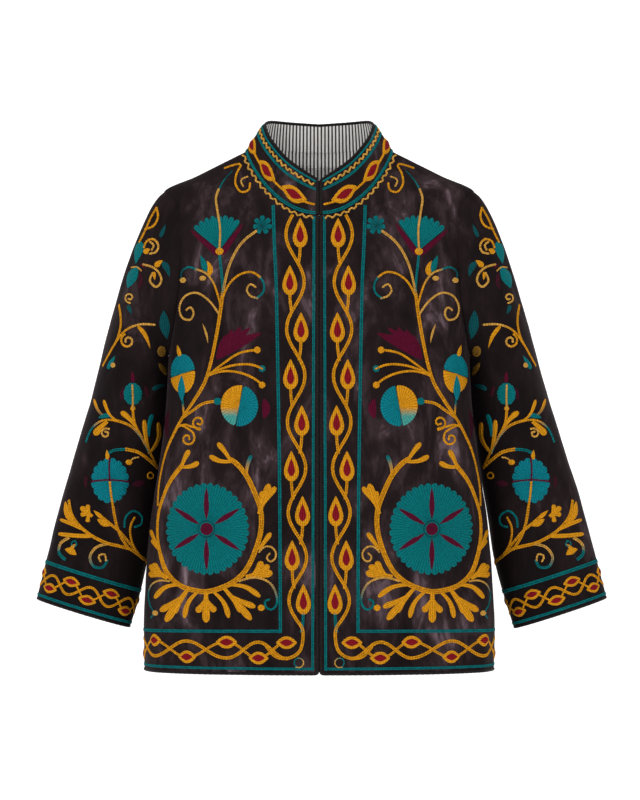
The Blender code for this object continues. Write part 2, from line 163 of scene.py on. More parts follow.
# bearing round the arm (0 outside, 90 front, 180 inside) and half width in degrees, share of the
# way down and half length, lean in degrees over the sleeve, depth
sleeveFolds = [
    (60, 26, 0.16, 0.12, 90, -2.6),
    (120, 24, 0.30, 0.10, 60, 2.4),
    (75, 30, 0.52, 0.05, -160, -2.4),
    (110, 28, 0.60, 0.045, -180, 2.2),
    (30, 26, 0.70, 0.16, 40, 1.8),
    (285, 28, 0.34, 0.12, 60, -3.0),
    (250, 26, 0.55, 0.06, 150, 2.8),
    (300, 26, 0.72, 0.15, -50, -2.4),
]

sleeveCreases = [
    (95, 12, 0.27, 0.06, 150, 1.2),
    (50, 11, 0.36, 0.07, -120, -1.2),
    (130, 10, 0.42, 0.05, -200, 1.3),
    (88, 12, 0.47, 0.03, -260, -1.3),
    (65, 13, 0.56, 0.03, -240, 1.2),
    (118, 12, 0.66, 0.03, -230, -1.1),
    (42, 11, 0.63, 0.05, -120, 1.0),
    (20, 10, 0.22, 0.09, 60, -1.2),
    (80, 9, 0.78, 0.06, 60, 0.9),
    (210, 12, 0.48, 0.04, 180, 1.5),
    (230, 12, 0.60, 0.04, 220, -1.5),
    (270, 11, 0.42, 0.07, 90, 1.4),
    (320, 12, 0.33, 0.08, -70, 1.2),
    (265, 12, 0.66, 0.05, 200, 1.3),
    (335, 10, 0.58, 0.1, 30, -1.2),
    (180, 34, 0.30, 0.17, 0, 6.5),
]

sleeves = [("left", 1, 0.9), ("right", -1, -0.3)]

# The stand collar: turn round it in degrees, and the height of its top edge
collarShape = {
    "turns": (0, 30, 60, 90, 120, 150, 180),
    "top": (-37, -15, 12, 33, 38, 36.5, 34.5),
    "halfWidth": 70.0,
    "front": 49.0,
    "back": 55.0,
    "bulge": 1.2,
    "height": 44.0,
}

# How finely the cloth is divided
weave = {
    "sideRows": 76,
    "armholeRows": 66,
    "frontNeckColumns": 34,
    "backNeckColumns": 30,
    "shoulderColumns": 30,
    "collarRows": 15,
    "capRows": 30,
    "armRows": 74,
}


def unit(v):
    return v / np.linalg.norm(v, axis=-1, keepdims=True)


def walkedAlong(points):
    # the way walked up to each point of a line, or of each row of a grid
    steps = np.linalg.norm(np.diff(points, axis=-2), axis=-1)
    return np.concatenate([np.zeros((*steps.shape[:-1], 1)), np.cumsum(steps, axis=-1)], axis=-1)


def hermite(t, first, last, leave, arrive):
    # from first to last, with these slopes at the two ends
    return (
        (1 + 2 * t) * (1 - t) ** 2 * first
        + t * (1 - t) ** 2 * leave
        + t * t * (3 - 2 * t) * last
        + t * t * (t - 1) * arrive
    )


def through(heights, values):
    # a smooth function through the rows of a table, with no overshoot between them
    xs, ys = np.array(heights, float), np.array(values, float)
    slopes = np.diff(ys) / np.diff(xs)
    tangents = np.zeros(len(xs))
    tangents[0], tangents[-1] = slopes[0], slopes[-1]
    for i in range(1, len(xs) - 1):
        below, above = slopes[i - 1], slopes[i]
        if below * above > 0:
            tangents[i] = 2 * below * above / (below + above)

    def at(x):
        x = np.asarray(x, float)
        i = np.clip(np.searchsorted(xs, x) - 1, 0, len(xs) - 2)
        span = xs[i + 1] - xs[i]
        t = (x - xs[i]) / span
        return hermite(t, ys[i], ys[i + 1], span * tangents[i], span * tangents[i + 1])

    return at


def columnsOf(table, names):
    columns = zip(*sorted(table))
    heights = [line[0] for line in sorted(table)]
    return {name: through(heights, column) for name, column in zip(names, columns)}


torsoAt = columnsOf(torsoRows, ("height", "halfWidth", "front", "back", "square"))
armAt = columnsOf(armRows, ("height", "across", "back", "halfWidth", "halfDepth", "tilt"))


def bell(distance, half):
    return np.exp(-2.2 * (distance / half) ** 2)


def foldPush(folds, bearing, height):
    push = np.zeros(np.broadcast(bearing, height).shape)
    for middle, breadth, level, length, lean, depth in folds:
        line = middle + lean * (height - level) / 100
        push += depth * bell(bearing - line, breadth) * bell(height - level, length)
    return push


def torsoPoint(bearing, height, folded=True):
    bearing, height = np.broadcast_arrays(np.asarray(bearing, float), np.asarray(height, float))
    angle = np.radians(bearing)
    power = 2 / torsoAt["square"](height)
    across, along = np.sin(angle), np.cos(angle)
    depth = np.where(along > 0, torsoAt["front"](height), torsoAt["back"](height))
    x = torsoAt["halfWidth"](height) * np.sign(across) * np.abs(across) ** power
    y = -depth * np.sign(along) * np.abs(along) ** power
    push = foldPush(bodyFolds, bearing, height) if folded else np.zeros(x.shape)
    grown = 1 + push / np.maximum(np.hypot(x, y), 1.0)
    return np.stack([x * grown, y * grown, height], axis=-1)


def outwardAt(bearing, height, step=1.5):
    roundIt = torsoPoint(bearing + step, height) - torsoPoint(bearing - step, height)
    upIt = torsoPoint(bearing, height) - torsoPoint(bearing, np.asarray(height) - 2 * step)
    return unit(np.cross(roundIt, upIt))


def bearingAt(height, distance, fromBack=False):
    height, distance = np.broadcast_arrays(np.asarray(height, float), np.asarray(distance, float))
    angles = np.linspace(0, 180, 181)
    if fromBack:
        angles = angles[::-1]
    walked = walkedAlong(torsoPoint(angles, height.reshape(-1, 1)))
    found = [np.interp(d, way, angles) for d, way in zip(distance.reshape(-1), walked)]
    return np.reshape(found, height.shape)


def girthTo(height, bearing, fromBack=False, folded=True, samples=121):
    start = 180 if fromBack else 0
    height, bearing = np.broadcast_arrays(np.asarray(height, float), np.asarray(bearing, float))
    angles = start + (bearing[..., None] - start) * np.linspace(0, 1, samples)
    ring = torsoPoint(angles, height[..., None], folded)
    return np.linalg.norm(np.diff(ring, axis=-2), axis=-1).sum(axis=-1)


def neckline(columns, fromBack=False):
    turn = np.linspace(0, math.pi / 2, columns + 1)
    end = "back" if fromBack else "front"
    edge = 0.0 if fromBack else form["frontEdge"]
    x = edge + (form["neckHalfWidth"] - edge) * np.sin(turn)
    height = -form[end + "NeckDrop"] * np.cos(turn) ** form[end + "NeckPower"]
    share = np.clip(x / torsoAt["halfWidth"](height), 0, 1)
    bearing = np.degrees(np.arcsin(share ** (torsoAt["square"](height) / 2)))
    return (180 - bearing if fromBack else bearing), height


def armhole(fromBack=False):
    turn = np.linspace(0, math.pi, weave["armholeRows"] + 1)
    middle = (form["armpit"] + form["shoulderPoint"]) / 2
    height = middle - (form["shoulderPoint"] - form["armpit"]) / 2 * np.cos(turn)
    deep = form["armholeBack"] if fromBack else form["armholeFront"]
    return height, deep * np.sin(turn) * (1 + form["armholeSkew"] * np.cos(turn))


def panelGrid(fromBack=False):
    neckColumns = weave["backNeckColumns"] if fromBack else weave["frontNeckColumns"]
    u = np.linspace(0, 1, neckColumns + weave["shoulderColumns"] + 1)
    centre = 0.0 if fromBack else form["frontEdge"]

    def side(height):
        return girthTo(height, 90.0, fromBack) - form["seamGap"] / 2

    # below the armhole, straight rows
    levels = np.linspace(form["hem"], form["armpit"], weave["sideRows"] + 1)
    low = [np.stack([centre + (side(z) - centre) * u, np.full_like(u, z)], axis=-1) for z in levels]
    # above it, a patch between the centre line, the armhole, the neck and the shoulder
    neckBearing, neckHeight = neckline(neckColumns, fromBack)
    neck = np.stack([girthTo(neckHeight, neckBearing, fromBack), neckHeight], axis=-1)
    neck[-1, 0] = side(0.0)
    slope = np.linspace(0, form["shoulderPoint"], weave["shoulderColumns"] + 1)[1:]
    top = np.concatenate([neck, np.stack([side(slope), slope], axis=-1)])
    armHeight, inset = armhole(fromBack)
    inset[0] = inset[-1] = 0
    right = np.stack([side(armHeight) - inset, armHeight], axis=-1)
    leftHeight = np.linspace(form["armpit"], neckHeight[0], weave["armholeRows"] + 1)
    left = np.stack([np.full_like(leftHeight, centre), leftHeight], axis=-1)
    high = []
    for j, v in enumerate(np.linspace(0, 1, weave["armholeRows"] + 1)[1:], start=1):
        across = (1 - u)[:, None] * left[j] + u[:, None] * right[j]
        upward = (1 - v) * low[-1] + v * top
        corners = (1 - u)[:, None] * ((1 - v) * left[0] + v * left[-1])
        corners = corners + u[:, None] * ((1 - v) * right[0] + v * right[-1])
        high.append(across + upward - corners)
    flat = np.array(low + high)
    return bearingAt(flat[..., 1], flat[..., 0], fromBack), flat[..., 1]


# how far and over what width the cloth draws in along its sewn edges
seam = {"draw": 0.6, "reach": 4.5, "sleeveReach": 5.0}


def crush(points, seed):
    # the velvet's small uneven swells, in millimetres
    out = np.empty(points.shape[:-1])
    for index in np.ndindex(out.shape):
        x, y, z = points[index]
        out[index] = 0.75 * noise.noise(Vector((x / 34 + seed, y / 34, z / 60)))
        out[index] += 0.32 * noise.noise(Vector((x / 13, y / 13 + seed, z / 22)))
    return out


def seamDip(points):
    near = np.linalg.norm(points[:, :, None] - points[None, None, ::3, -1], axis=-1).min(axis=-1)
    return -seam["draw"] * np.exp(-((near / seam["reach"]) ** 2))


def bodyHalf(side, fromBack, seed):
    bearing, height = panelGrid(fromBack)
    signed = side * bearing
    points, normals = torsoPoint(signed, height), outwardAt(signed, height)
    creases = foldPush(bodyCreases, signed, height)
    calm = np.clip((height - form["hem"]) / 25, 0.15, 1)
    push = (creases + crush(points, seed)) * calm + seamDip(points)
    push[-1] *= 0.3
    points = points + push[..., None] * normals
    # painted light: lighter on fold ridges and swells, darker in troughs and seam dips, and painted
    # shade towards the side seam by the sleeves
    nap = foldPush(bodyFolds, signed, height) * 0.35 + push - 3.0 * bell(bearing - 80, 26)
    cut = np.stack([girthTo(height, bearing, fromBack, False, 61), height - form["hem"]], axis=-1)
    return {"points": points, "normals": normals, "cut": cut, "nap": nap, "thick": form["cloth"]}


# The cloth's own measure starts at the centre line, or at a sleeve's inner seam, and at the hem
# or the cuff. It is moved by this much, so that it is never below 0.
cutStart = np.array([60.0, 20.0])
backMiddle = 400.0


def quadsOf(index):
    # the four corners of each square in a grid of numbers
    corners = [index[:-1, :-1], index[:-1, 1:], index[1:, 1:], index[1:, :-1]]
    return np.stack(corners, axis=-1).reshape(-1, 4)


def putIn(name, data):
    made = bpy.data.objects.new(name, data)
    bpy.context.scene.collection.objects.link(made)
    return made


def newMesh(name, points, faces, edges=(), materials=(), scale=mm):
    # points in millimetres, unless another scale is given
    mesh = bpy.data.meshes.new(name)
    mesh.from_pydata((np.array(points, float) * scale).tolist(), edges, faces)
    for material in materials:
        mesh.materials.append(material)
    return mesh


def setUvs(mesh, name, uvs):
    flat = np.array(uvs, float).reshape(-1, 2) * mm
    mesh.uv_layers.new(name=name).data.foreach_set("uv", flat.ravel())


def mark(mesh, name, kind, values):
    # a value, or a colour, for each vertex
    place = "color" if kind == "FLOAT_COLOR" else "value"
    mesh.attributes.new(name, kind, "POINT").data.foreach_set(place, np.ravel(values))


def clothMesh(name, piece, materials, closed=False):
    # two skins and the rims between them, from the grid of the outer skin
    outer, normals, cut, nap = (piece[k] for k in ("points", "normals", "cut", "nap"))
    inner = outer - piece["thick"] * normals
    rows, columns = outer.shape[:2]
    count = rows * columns
    index = np.arange(count).reshape(rows, columns)
    if closed:
        index = np.concatenate([index, index[:, :1]], axis=1)
    quads = quadsOf(index)
    places = quadsOf(np.arange(index.size).reshape(index.shape))
    flat, measure = outer.reshape(-1, 3), cut.reshape(-1, 2)
    a, b, _, d = flat[quads.T]
    if (np.cross(b - a, d - a) * normals.reshape(-1, 3)[quads[:, 0]]).sum() < 0:
        quads, places = quads[:, ::-1], places[:, ::-1]
    away = np.array([0.0, 2000.0])
    inside = piece.get("inside", cut).reshape(-1, 2)
    faces = [*quads, *(quads[:, ::-1] + count)]
    uvs = [*measure[places], *(inside[places[:, ::-1]] + away)]
    slots = [0] * len(quads) + [1] * len(quads)
    rims = [index[0], index[-1]] if closed else [index[0], index[-1], index[:, 0], index[:, -1]]
    for line in rims:
        for p, q in zip(line[:-1], line[1:]):
            faces.append((p, q, q + count, p + count))
            (u, v), (w, z) = (measure[i] + 2 * away for i in (p, q))
            uvs.append([(u, v), (w, z), (w, z + 1), (u, v + 1)])
            slots.append(0)
    points = np.concatenate([flat, inner.reshape(-1, 3)])
    mesh = newMesh(name, points, np.array(faces).tolist(), materials=materials)
    setUvs(mesh, "cut", uvs)
    mesh.polygons.foreach_set("material_index", slots)
    # the velvet's crush and its painted light and shade, read by its colour
    mark(mesh, "nap", "FLOAT", [nap, nap])
    orientRims(mesh, len(quads) * 2)
    mesh.shade_smooth()
    mesh.set_sharp_from_angle(angle=math.radians(50))
    return putIn(name, mesh)


def orientRims(mesh, fixed):
    # the rims between the two skins follow the skins' own direction
    body = bmesh.new()
    body.from_mesh(mesh)
    body.faces.ensure_lookup_table()
    for face in list(body.faces)[fixed:]:
        edge = face.edges[0]
        beside = [f for f in edge.link_faces if f != face]
        if not beside:
            continue
        mine, theirs = ([c.vert for c in f.loops if c.edge == edge][0] for f in (face, beside[0]))
        if mine == theirs:
            face.normal_flip()
    body.to_mesh(mesh)
    body.free()


# The colours of the dyed threads
hexColours = {
    "gold": "#C28315",
    "palegold": "#BA8B3E",
    "teal": "#056265",
    "brightteal": "#086B76",
    "paleteal": "#3F8C84",
    "darkteal": "#0A4347",
    "maroon": "#4D0C24",
    "red": "#74121D",
    "bronze": "#77561F",
    "darkmaroon": "#35101E",
}


def linear(hexText):
    parts = [int(hexText[i : i + 2], 16) / 255 for i in (1, 3, 5)]
    return tuple(p / 12.92 if p <= 0.04045 else ((p + 0.055) / 1.055) ** 2.4 for p in parts)


def dyed(name):
    return np.array(linear(hexColours[name]))


def fill(tree, node, inputs):
    # each input is a number, or a socket to link
    for key, value in inputs.items():
        if isinstance(value, bpy.types.NodeSocket):
            tree.links.new(value, node.inputs[key])
        else:
            node.inputs[key].default_value = value


def addNode(tree, kind, inputs=None, **settings):
    node = tree.nodes.new(kind)
    for name, value in settings.items():
        setattr(node, name, value)
    fill(tree, node, inputs or {})
    return node


def calc(tree, operation, *values):
    node = addNode(tree, "ShaderNodeMath", dict(enumerate(values)), operation=operation)
    return node.outputs[0]


def grain(tree, place, scale, detail, **more):
    inputs = {"Vector": place, "Scale": scale, "Detail": detail, **more}
    return addNode(tree, "ShaderNodeTexNoise", inputs).outputs["Fac"]


def times(tree, first, second):
    # one colour times another
    inputs = {"Factor": 1.0, 6: first, 7: second}
    mixed = addNode(tree, "ShaderNodeMix", inputs, data_type="RGBA", blend_type="MULTIPLY")
    return mixed.outputs[2]


def newMaterial(name):
    material = bpy.data.materials.new(name)
    material.use_nodes = True
    tree = material.node_tree
    return material, tree, tree.nodes["Principled BSDF"]


def objectPlace(tree):
    return addNode(tree, "ShaderNodeTexCoord").outputs["Object"]


def surface(tree, shader, colour, height, bump, rough, shine):
    # bump holds its strength and its depth in metres
    strength, depth = bump
    inputs = {"Height": height, "Strength": strength, "Distance": depth}
    normal = addNode(tree, "ShaderNodeBump", inputs).outputs[0]
    fill(tree, shader, {"Base Color": colour, "Normal": normal, "Roughness": rough})
    shader.inputs["Specular IOR Level"].default_value = shine


def ramp(tree, factor, stops):
    node = addNode(tree, "ShaderNodeValToRGB", {"Fac": factor})
    marks = node.color_ramp.elements
    while len(marks) < len(stops):
        marks.new(0.5)
    for stop, (place, colour) in zip(marks, stops):
        stop.position = place
        stop.color = (*(linear(colour) if isinstance(colour, str) else [colour] * 3), 1)
    return node.outputs["Color"]


# Cotton velvet: a short dense pile, cut and a little crushed. Its colour is near black, with mauve
# grey painted sheen where the pile lies over, and painted light from the cloth's folds: lighter
# ridges, darker troughs and sides.
def crushedVelvet():
    material, tree, shader = newMaterial("crushedVelvet")
    place = objectPlace(tree)
    longer = {"Vector": place, "Scale": (1, 1, 0.42)}
    streaks = addNode(tree, "ShaderNodeMapping", longer).outputs[0]
    broad = grain(tree, streaks, 24, 4, Roughness=0.62, Distortion=0.7)
    small = grain(tree, streaks, 95, 3, Roughness=0.6, Distortion=0.4)
    nap = addNode(tree, "ShaderNodeAttribute", attribute_name="nap").outputs["Fac"]
    # painted highlights on fold ridges and painted shade in troughs, seam dips and by the sides,
    # over the crush noise
    over = calc(tree, "MULTIPLY_ADD", nap, 0.055, broad)
    # the crush, and with it the painted sheen, is stronger in some parts than in others
    crushAndSheenPatches = calc(tree, "SUBTRACT", grain(tree, place, 8, 1), 0.5)
    over = calc(tree, "MULTIPLY_ADD", crushAndSheenPatches, 0.5, over)
    over = calc(tree, "MULTIPLY_ADD", small, 0.30, over)
    # the lighter mauve grey stops are painted sheen highlights
    stops = [(0.42, "#130D0E"), (0.64, "#1E1516"), (0.77, "#33272A"), (0.87, "#5A4A50")]
    colour = ramp(tree, over, stops + [(0.97, "#75646A")])
    # the pile's tips, about 1 mm apart, coarser than the real pile so that they show
    tips = calc(tree, "MULTIPLY_ADD", small, 2.5, grain(tree, place, 900, 2))
    surface(tree, shader, colour, tips, (0.35, 0.0006), 0.85, 0.06)
    shader.inputs["Sheen Weight"].default_value = 0.22
    shader.inputs["Sheen Roughness"].default_value = 0.34
    shader.inputs["Sheen Tint"].default_value = (*linear("#8E7A82"), 1)
    return material


# Plain-woven cotton ticking: dark stripes on off-white, 4.7 mm from stripe to stripe
def stripedCotton():
    material, tree, shader = newMaterial("stripedCotton")
    uv = addNode(tree, "ShaderNodeUVMap", uv_map="cut").outputs[0]
    across = addNode(tree, "ShaderNodeSeparateXYZ", {0: uv}).outputs["X"]
    share = calc(tree, "FRACT", calc(tree, "MULTIPLY", across, 1 / 0.0047))
    stops = [(0.0, "#F2EFEC"), (0.44, "#ECE9E6"), (0.50, "#454142"), (0.56, "#353233")]
    colour = ramp(tree, share, stops + [(0.90, "#353233"), (0.97, "#E8E5E2")])
    threads = addNode(tree, "ShaderNodeMapping", {"Vector": uv, "Scale": (1400, 1400, 1)})
    weft = addNode(tree, "ShaderNodeTexChecker", {"Vector": threads.outputs[0], "Scale": 1.0})
    surface(tree, shader, colour, weft.outputs["Fac"], (0.25, 0.0002), 0.82, 0.25)
    return material


# Twisted cotton embroidery thread, dyed: soft low gloss along each strand
def embroideryThread(name, filled):
    material, tree, shader = newMaterial(name)
    place = objectPlace(tree)
    dye = addNode(tree, "ShaderNodeAttribute", attribute_name="threadColour").outputs["Color"]
    if filled:
        # rows of chain stitch 2.5 mm apart, some coarser than real so that they show
        uv = addNode(tree, "ShaderNodeUVMap", uv_map="sew").outputs[0]
        apart = addNode(tree, "ShaderNodeSeparateXYZ", {0: uv}).outputs
        row, chain = (
            calc(tree, "ABSOLUTE", calc(tree, "SINE", calc(tree, "MULTIPLY", way, math.pi / pitch)))
            for way, pitch in ((apart["X"], 0.0025), (apart["Y"], 0.0034))
        )
        height = calc(tree, "MULTIPLY_ADD", chain, 0.35, row)
        # painted shade in the grooves between rows and links, and a painted highlight on their tops
        dye = times(tree, dye, ramp(tree, height, [(0.0, 0.30), (0.4, 0.74), (0.95, 1.08)]))
        bump = (0.8, 0.0005)
    else:
        height, bump = grain(tree, place, 1500, 2), (0.5, 0.0003)
    uneven = ramp(tree, grain(tree, place, 420, 3), [(0.3, 0.80), (0.7, 1.12)])
    surface(tree, shader, times(tree, dye, uneven), height, bump, 0.72, 0.03)
    return material


# Piped edge: a black-brown cotton cord of two plies
def pipedCord():
    material, tree, shader = newMaterial("pipedCord")
    fibre = grain(tree, objectPlace(tree), 700, 3)
    colour = ramp(tree, fibre, [(0.3, "#0C0909"), (0.7, "#1D1617")])
    surface(tree, shader, colour, fibre, (0.4, 0.0003), 0.75, 0.15)
    return material


velvet, lining, cordBlack = crushedVelvet(), stripedCotton(), pipedCord()
rowThread = embroideryThread("chainStitchThread", False)
fillThread = embroideryThread("filledStitchThread", True)


# Drawing with thread. Points are in millimetres from the centre line and up from the hem, as seen
# from the front.
def smoothLine(points, step=2.0):
    p = np.array(points, float)
    if len(p) > 2:
        gap = np.maximum(np.sqrt(np.linalg.norm(np.diff(p, axis=0), axis=1)), 0.2)[:, None]
        slope = np.diff(p, axis=0) / gap
        m = np.empty_like(p)
        m[1:-1] = (slope[1:] * gap[:-1] + slope[:-1] * gap[1:]) / (gap[:-1] + gap[1:])
        m[0] = 1.5 * slope[0] - 0.5 * m[1]
        m[-1] = 1.5 * slope[-1] - 0.5 * m[-2]
        t = np.linspace(0, 1, 25)[:-1][:, None]
        spans = range(len(p) - 1)
        pieces = [hermite(t, p[i], p[i + 1], gap[i] * m[i], gap[i] * m[i + 1]) for i in spans]
        p = np.concatenate([*pieces, p[-1:]])
    walked = walkedAlong(p)
    places = np.linspace(0, walked[-1], max(3, int(round(walked[-1] / step)) + 1))
    return np.stack([np.interp(places, walked, p[:, k]) for k in (0, 1)], -1)


def sideways(line):
    along = np.gradient(line, axis=0)
    along /= np.maximum(np.linalg.norm(along, axis=1, keepdims=True), 1e-9)
    return np.stack([-along[:, 1], along[:, 0]], axis=-1)


def wayTo(turn):
    # the direction this many degrees from straight up
    return np.array([math.sin(math.radians(turn)), math.cos(math.radians(turn))])


def sewRow(art, points, width, dye, end=None, lift=0.0, step=2.0):
    line, dyes = smoothLine(points, step), (dyed(dye), dyed(end or dye))
    art.append({"kind": "row", "line": line, "width": width, "lift": lift, "dyes": dyes})


def sewZigzag(art, line):
    pale = (dyed("palegold"), dyed("palegold"))
    row = {"kind": "row", "line": line, "width": 2.6, "lift": 0.0, "dyes": pale}
    art.append({**row, "single": True})


def fingerShape(t):
    rounding = np.sqrt(np.clip(1 - ((t - 0.74) / 0.26) ** 2 * (t > 0.74), 0, 1))
    return (0.42 + 0.58 * t) * rounding


# the half width of a patch along its length
outlines = {
    "drop": lambda t: np.sin(np.pi * t**0.62) ** 0.9,
    "lens": lambda t: np.sin(np.pi * t) ** 0.85,
    "finger": fingerShape,
    "even": lambda t: np.sqrt(np.clip(1 - (2 * t - 1) ** 8, 0, 1)),
    "horn": lambda t: np.sin(np.pi * t) ** 0.6,
}
sunk = 0.25  # how far the rim of a patch goes into the cloth


def sewPatch(art, points, width, dye, shape="drop", height=0.9, lift=0.0, end=None, rows=14):
    line = smoothLine(points, 0.8)
    t = 0.5 - 0.5 * np.cos(np.pi * np.linspace(0, 1, rows))
    at = t * (len(line) - 1)
    centre = np.stack([np.interp(at, range(len(line)), line[:, k]) for k in (0, 1)], -1)
    half = (width / 2 * outlines[shape](t))[:, None]
    s = np.array([-1, -0.72, -0.3, 0.3, 0.72, 1])
    grid = centre[:, None] + sideways(centre)[:, None] * (half * s)[..., None]
    full = np.clip(half / (width / 2), 0, 1)
    tall = lift + height * full**0.5 * (1 - np.abs(s) ** 2.6) - sunk * (np.abs(s) > 0.9)
    walked = walkedAlong(centre)[:, None]
    sew = np.stack([half * s + 0 * walked, walked + 0 * s], -1)
    first, last = dyed(dye), dyed(end or dye)
    share = np.clip(t * 1.6 - 0.3, 0, 1)[:, None, None]
    colour = first + (last - first) * share + 0 * s[None, :, None]
    art.append({"kind": "patch", "grid": grid, "tall": tall, "sew": sew, "colour": colour})


def sewDisc(art, centre, radii, dye, lobes=0, lobeDepth=0.0, height=1.1, lift=0.0, turns=(0, 360),
            dyeAt=None, perLobe=6, rings=7):
    around = (lobes or 14) * (perLobe if lobes else 2)
    start, stop = turns
    angle = np.radians(np.linspace(start, stop, around + 1))
    r = np.linspace(0, 1, rings)[:, None] ** 0.8
    lobe = np.ones(angle.shape)
    if lobes:
        swing = np.abs(np.sin(np.linspace(0, np.pi * lobes, around + 1))) ** 0.7
        lobe = 1 - lobeDepth + lobeDepth * swing
    plain = np.stack([radii[0] * np.sin(angle), radii[1] * np.cos(angle)], -1)
    edge = plain * lobe[:, None]
    blend = r[..., None] ** 3
    grid = np.array(centre) + r[..., None] * (plain * (1 - blend) + edge * blend)
    tall = lift + height * (1 - r**7) + 0 * angle
    if lobes:
        tall = tall + 0.3 * (lobe - 1 + lobeDepth) / max(lobeDepth, 0.01) * r
    tall[-1] = lift - sunk
    if stop - start < 359:
        tall[:, 0] = tall[:, -1] = lift - sunk
    size = (radii[0] + radii[1]) / 2
    sew = np.stack([0 * r + angle * size * 0.62, r * size + 0 * angle], -1)
    colour = np.broadcast_to(dyed(dye), (*tall.shape, 3)).copy()
    if dyeAt:
        colour = dyeAt((grid - np.array(centre)) / size, colour)
    art.append({"kind": "patch", "grid": grid, "tall": tall, "sew": sew, "colour": colour})


def spiral(centre, radius, start, turns, hand=1, close=0.25, count=22):
    # from the outside in, start in degrees from straight up, hand 1 turns towards the side
    t = np.linspace(0, 1, count)
    angle = np.radians(start + hand * 360 * turns * t)
    r = radius * (1 - (1 - close) * t)
    return [(centre[0] + a * math.sin(g), centre[1] + a * math.cos(g)) for a, g in zip(r, angle)]


def bud(art, foot, length, width):
    # an upright gold drop with a red heart
    foot, way = np.array(foot, float), np.array([0.0, length])
    sewPatch(art, [foot, foot + way * 0.5, foot + way], width, "gold", "drop", 1.0)
    heart = [foot + way * share for share in (0.17, 0.46, 0.75)]
    sewPatch(art, heart, width * 0.52, "red", "drop", 0.7, 0.75, rows=10)


def lensBud(art, centre, length, width):
    # a gold lens with a red heart, lying along its band
    centre, way = np.array(centre, float), np.array([length, 0.0])
    for share, size, dye, lift, tall in (
        (0.5, width, "gold", 0.25, 0.9),
        (0.32, width * 0.58, "red", 1.0, 0.6),
    ):
        ends = [centre - way * share, centre, centre + way * share]
        sewPatch(art, ends, size, dye, "lens", tall, lift, rows=12)


def wave(knots, level, swing, first=1):
    # a wavy line that reaches its peaks, up and down in turn, at the knots
    places = np.linspace(0, len(knots) - 1, (len(knots) - 1) * 10 + 1)
    along = np.interp(places, range(len(knots)), knots)
    return np.stack([along, level + first * swing * np.cos(np.pi * places)], -1)


vine = {"middle": (25.2, 30.2), "swing": 11.0, "knots": 9, "budLength": 38.0, "budWidth": 20.0}


def frontBorder():
    art = []
    sewRow(art, [(6.4, 562), (7.2, 300), (8.0, 4)], 3.6, "teal")
    outerLine = [(57, 573), (55, 520), (53, 478), (50.5, 360), (48.5, 235), (47.5, 50)]
    sewRow(art, outerLine, 4.4, "teal")
    heights = [538 - 59.5 * k + 0.4 * k * k for k in range(vine["knots"])]
    heights = [heights[0] + 58, *heights, heights[-1] - 52]
    places = np.linspace(0.6, len(heights) - 1.25, 90)
    h = np.interp(places, range(len(heights)), heights)
    low, high = vine["middle"]
    x = low + (high - low) * h / 560 - vine["swing"] * np.cos(np.pi * places)
    tail = [(20, 40), (24, 26), (36, 18), (52, 19), (64, 31)]
    sewRow(art, [*zip(x, h)][::2] + tail, 4.2, "gold", lift=0.1)
    for k, level in enumerate(heights[1:-1]):
        side = -1 if k % 2 == 0 else 1
        spot = low + (high - low) * level / 560 + side * 6.6
        bud(art, (spot, level - 17), vine["budLength"], vine["budWidth"])
        last = "teal" if k == vine["knots"] - 1 else "gold"
        tail = ((0, 15), (0.6, 26), (2.2, 37))
        sewRow(art, [(spot - side * out, level - down) for out, down in tail], 3.8, last)
    return art


def band(knots, level, swing, first, budLength, budWidth, width):
    # two waves that cross, with buds between them
    art = []
    sewRow(art, wave(knots, level, swing, -first), width, "gold", lift=0.1, step=2.5)
    sewRow(art, wave(knots, level, swing, first), width * 0.8, "gold", step=2.5)
    for i, place in enumerate(knots):
        side = first * (-1) ** i
        lensBud(art, (place, level + side * swing * 0.95), budLength, budWidth)
    return art


def hemBand(front):
    # in the cloth's own measure, round to the side seam
    knots = (40, 75, 116, 168, 219, 272) if front else (0, 52, 104, 156, 208, 262)
    art = band(knots, 27, 10, 1, 26, 16, 4.2)
    start, edge, end = (47.5, 8, 286) if front else (0, 0, 279)
    sewRow(art, [(start, 50.5), (150, 49.5), (end, 47)], 4.0, "teal")
    sewRow(art, [(edge, 4.4), (150, 4.4), (end, 4.4)], 3.4, "teal")
    if front:
        sewRow(art, spiral((25, 12), 6.0, 160, 0.95, 1, 0.9), 1.8, "palegold", "teal")
    return art


def fingers(art, root, tips, width, dye="gold", shape="finger", height=1.1):
    # leaf fingers that leave one root and part towards their tips
    root = np.array(root, float)
    for tip, bend in tips:
        tip = np.array(tip, float)
        across = np.array([-(tip - root)[1], (tip - root)[0]])
        sewPatch(art, [root, (root + tip) / 2 + across * bend, tip], width, dye, shape, height)


def lobedLeaf(art, root, main, others, width):
    # one rounded lobe to the main tip, with shorter ones that leave it part of the way up
    root, main = np.array(root, float), np.array(main, float)
    sewPatch(art, [root, (root + main) / 2, main], width, "gold", "finger", 1.2)
    start = root + (main - root) * 0.25
    for tip in others:
        tip = np.array(tip, float)
        middle = (start + tip) / 2 + (main - root) * 0.04
        sewPatch(art, [start, middle, tip], width * 0.85, "gold", "finger", 1.0)


def fanFlower(art, base, lean, radius):
    foot = np.array(base, float)
    calyx = ((47, 1.0), (50, 0.68), (56, 0.36), (180, 0.07), (-56, 0.36), (-50, 0.68), (-47, 0.98))
    calyx = [foot + radius * reach * wayTo(turn + lean) for turn, reach in calyx]
    sewPatch(art, calyx, 9.0, "maroon", "horn", 0.7, rows=26)
    turns = (lean - 43, lean + 43)
    sewDisc(art, foot, (radius, radius), "teal", 8, 0.11, 1.2, turns=turns, perLobe=8, rings=9)


def palerBelow(places, colour):
    # the gold goes over to pale teal towards the foot of the disc
    share = np.clip((-0.1 - places[..., 1:]) / 0.4, 0, 1)
    return colour + (dyed("paleteal") - colour) * share


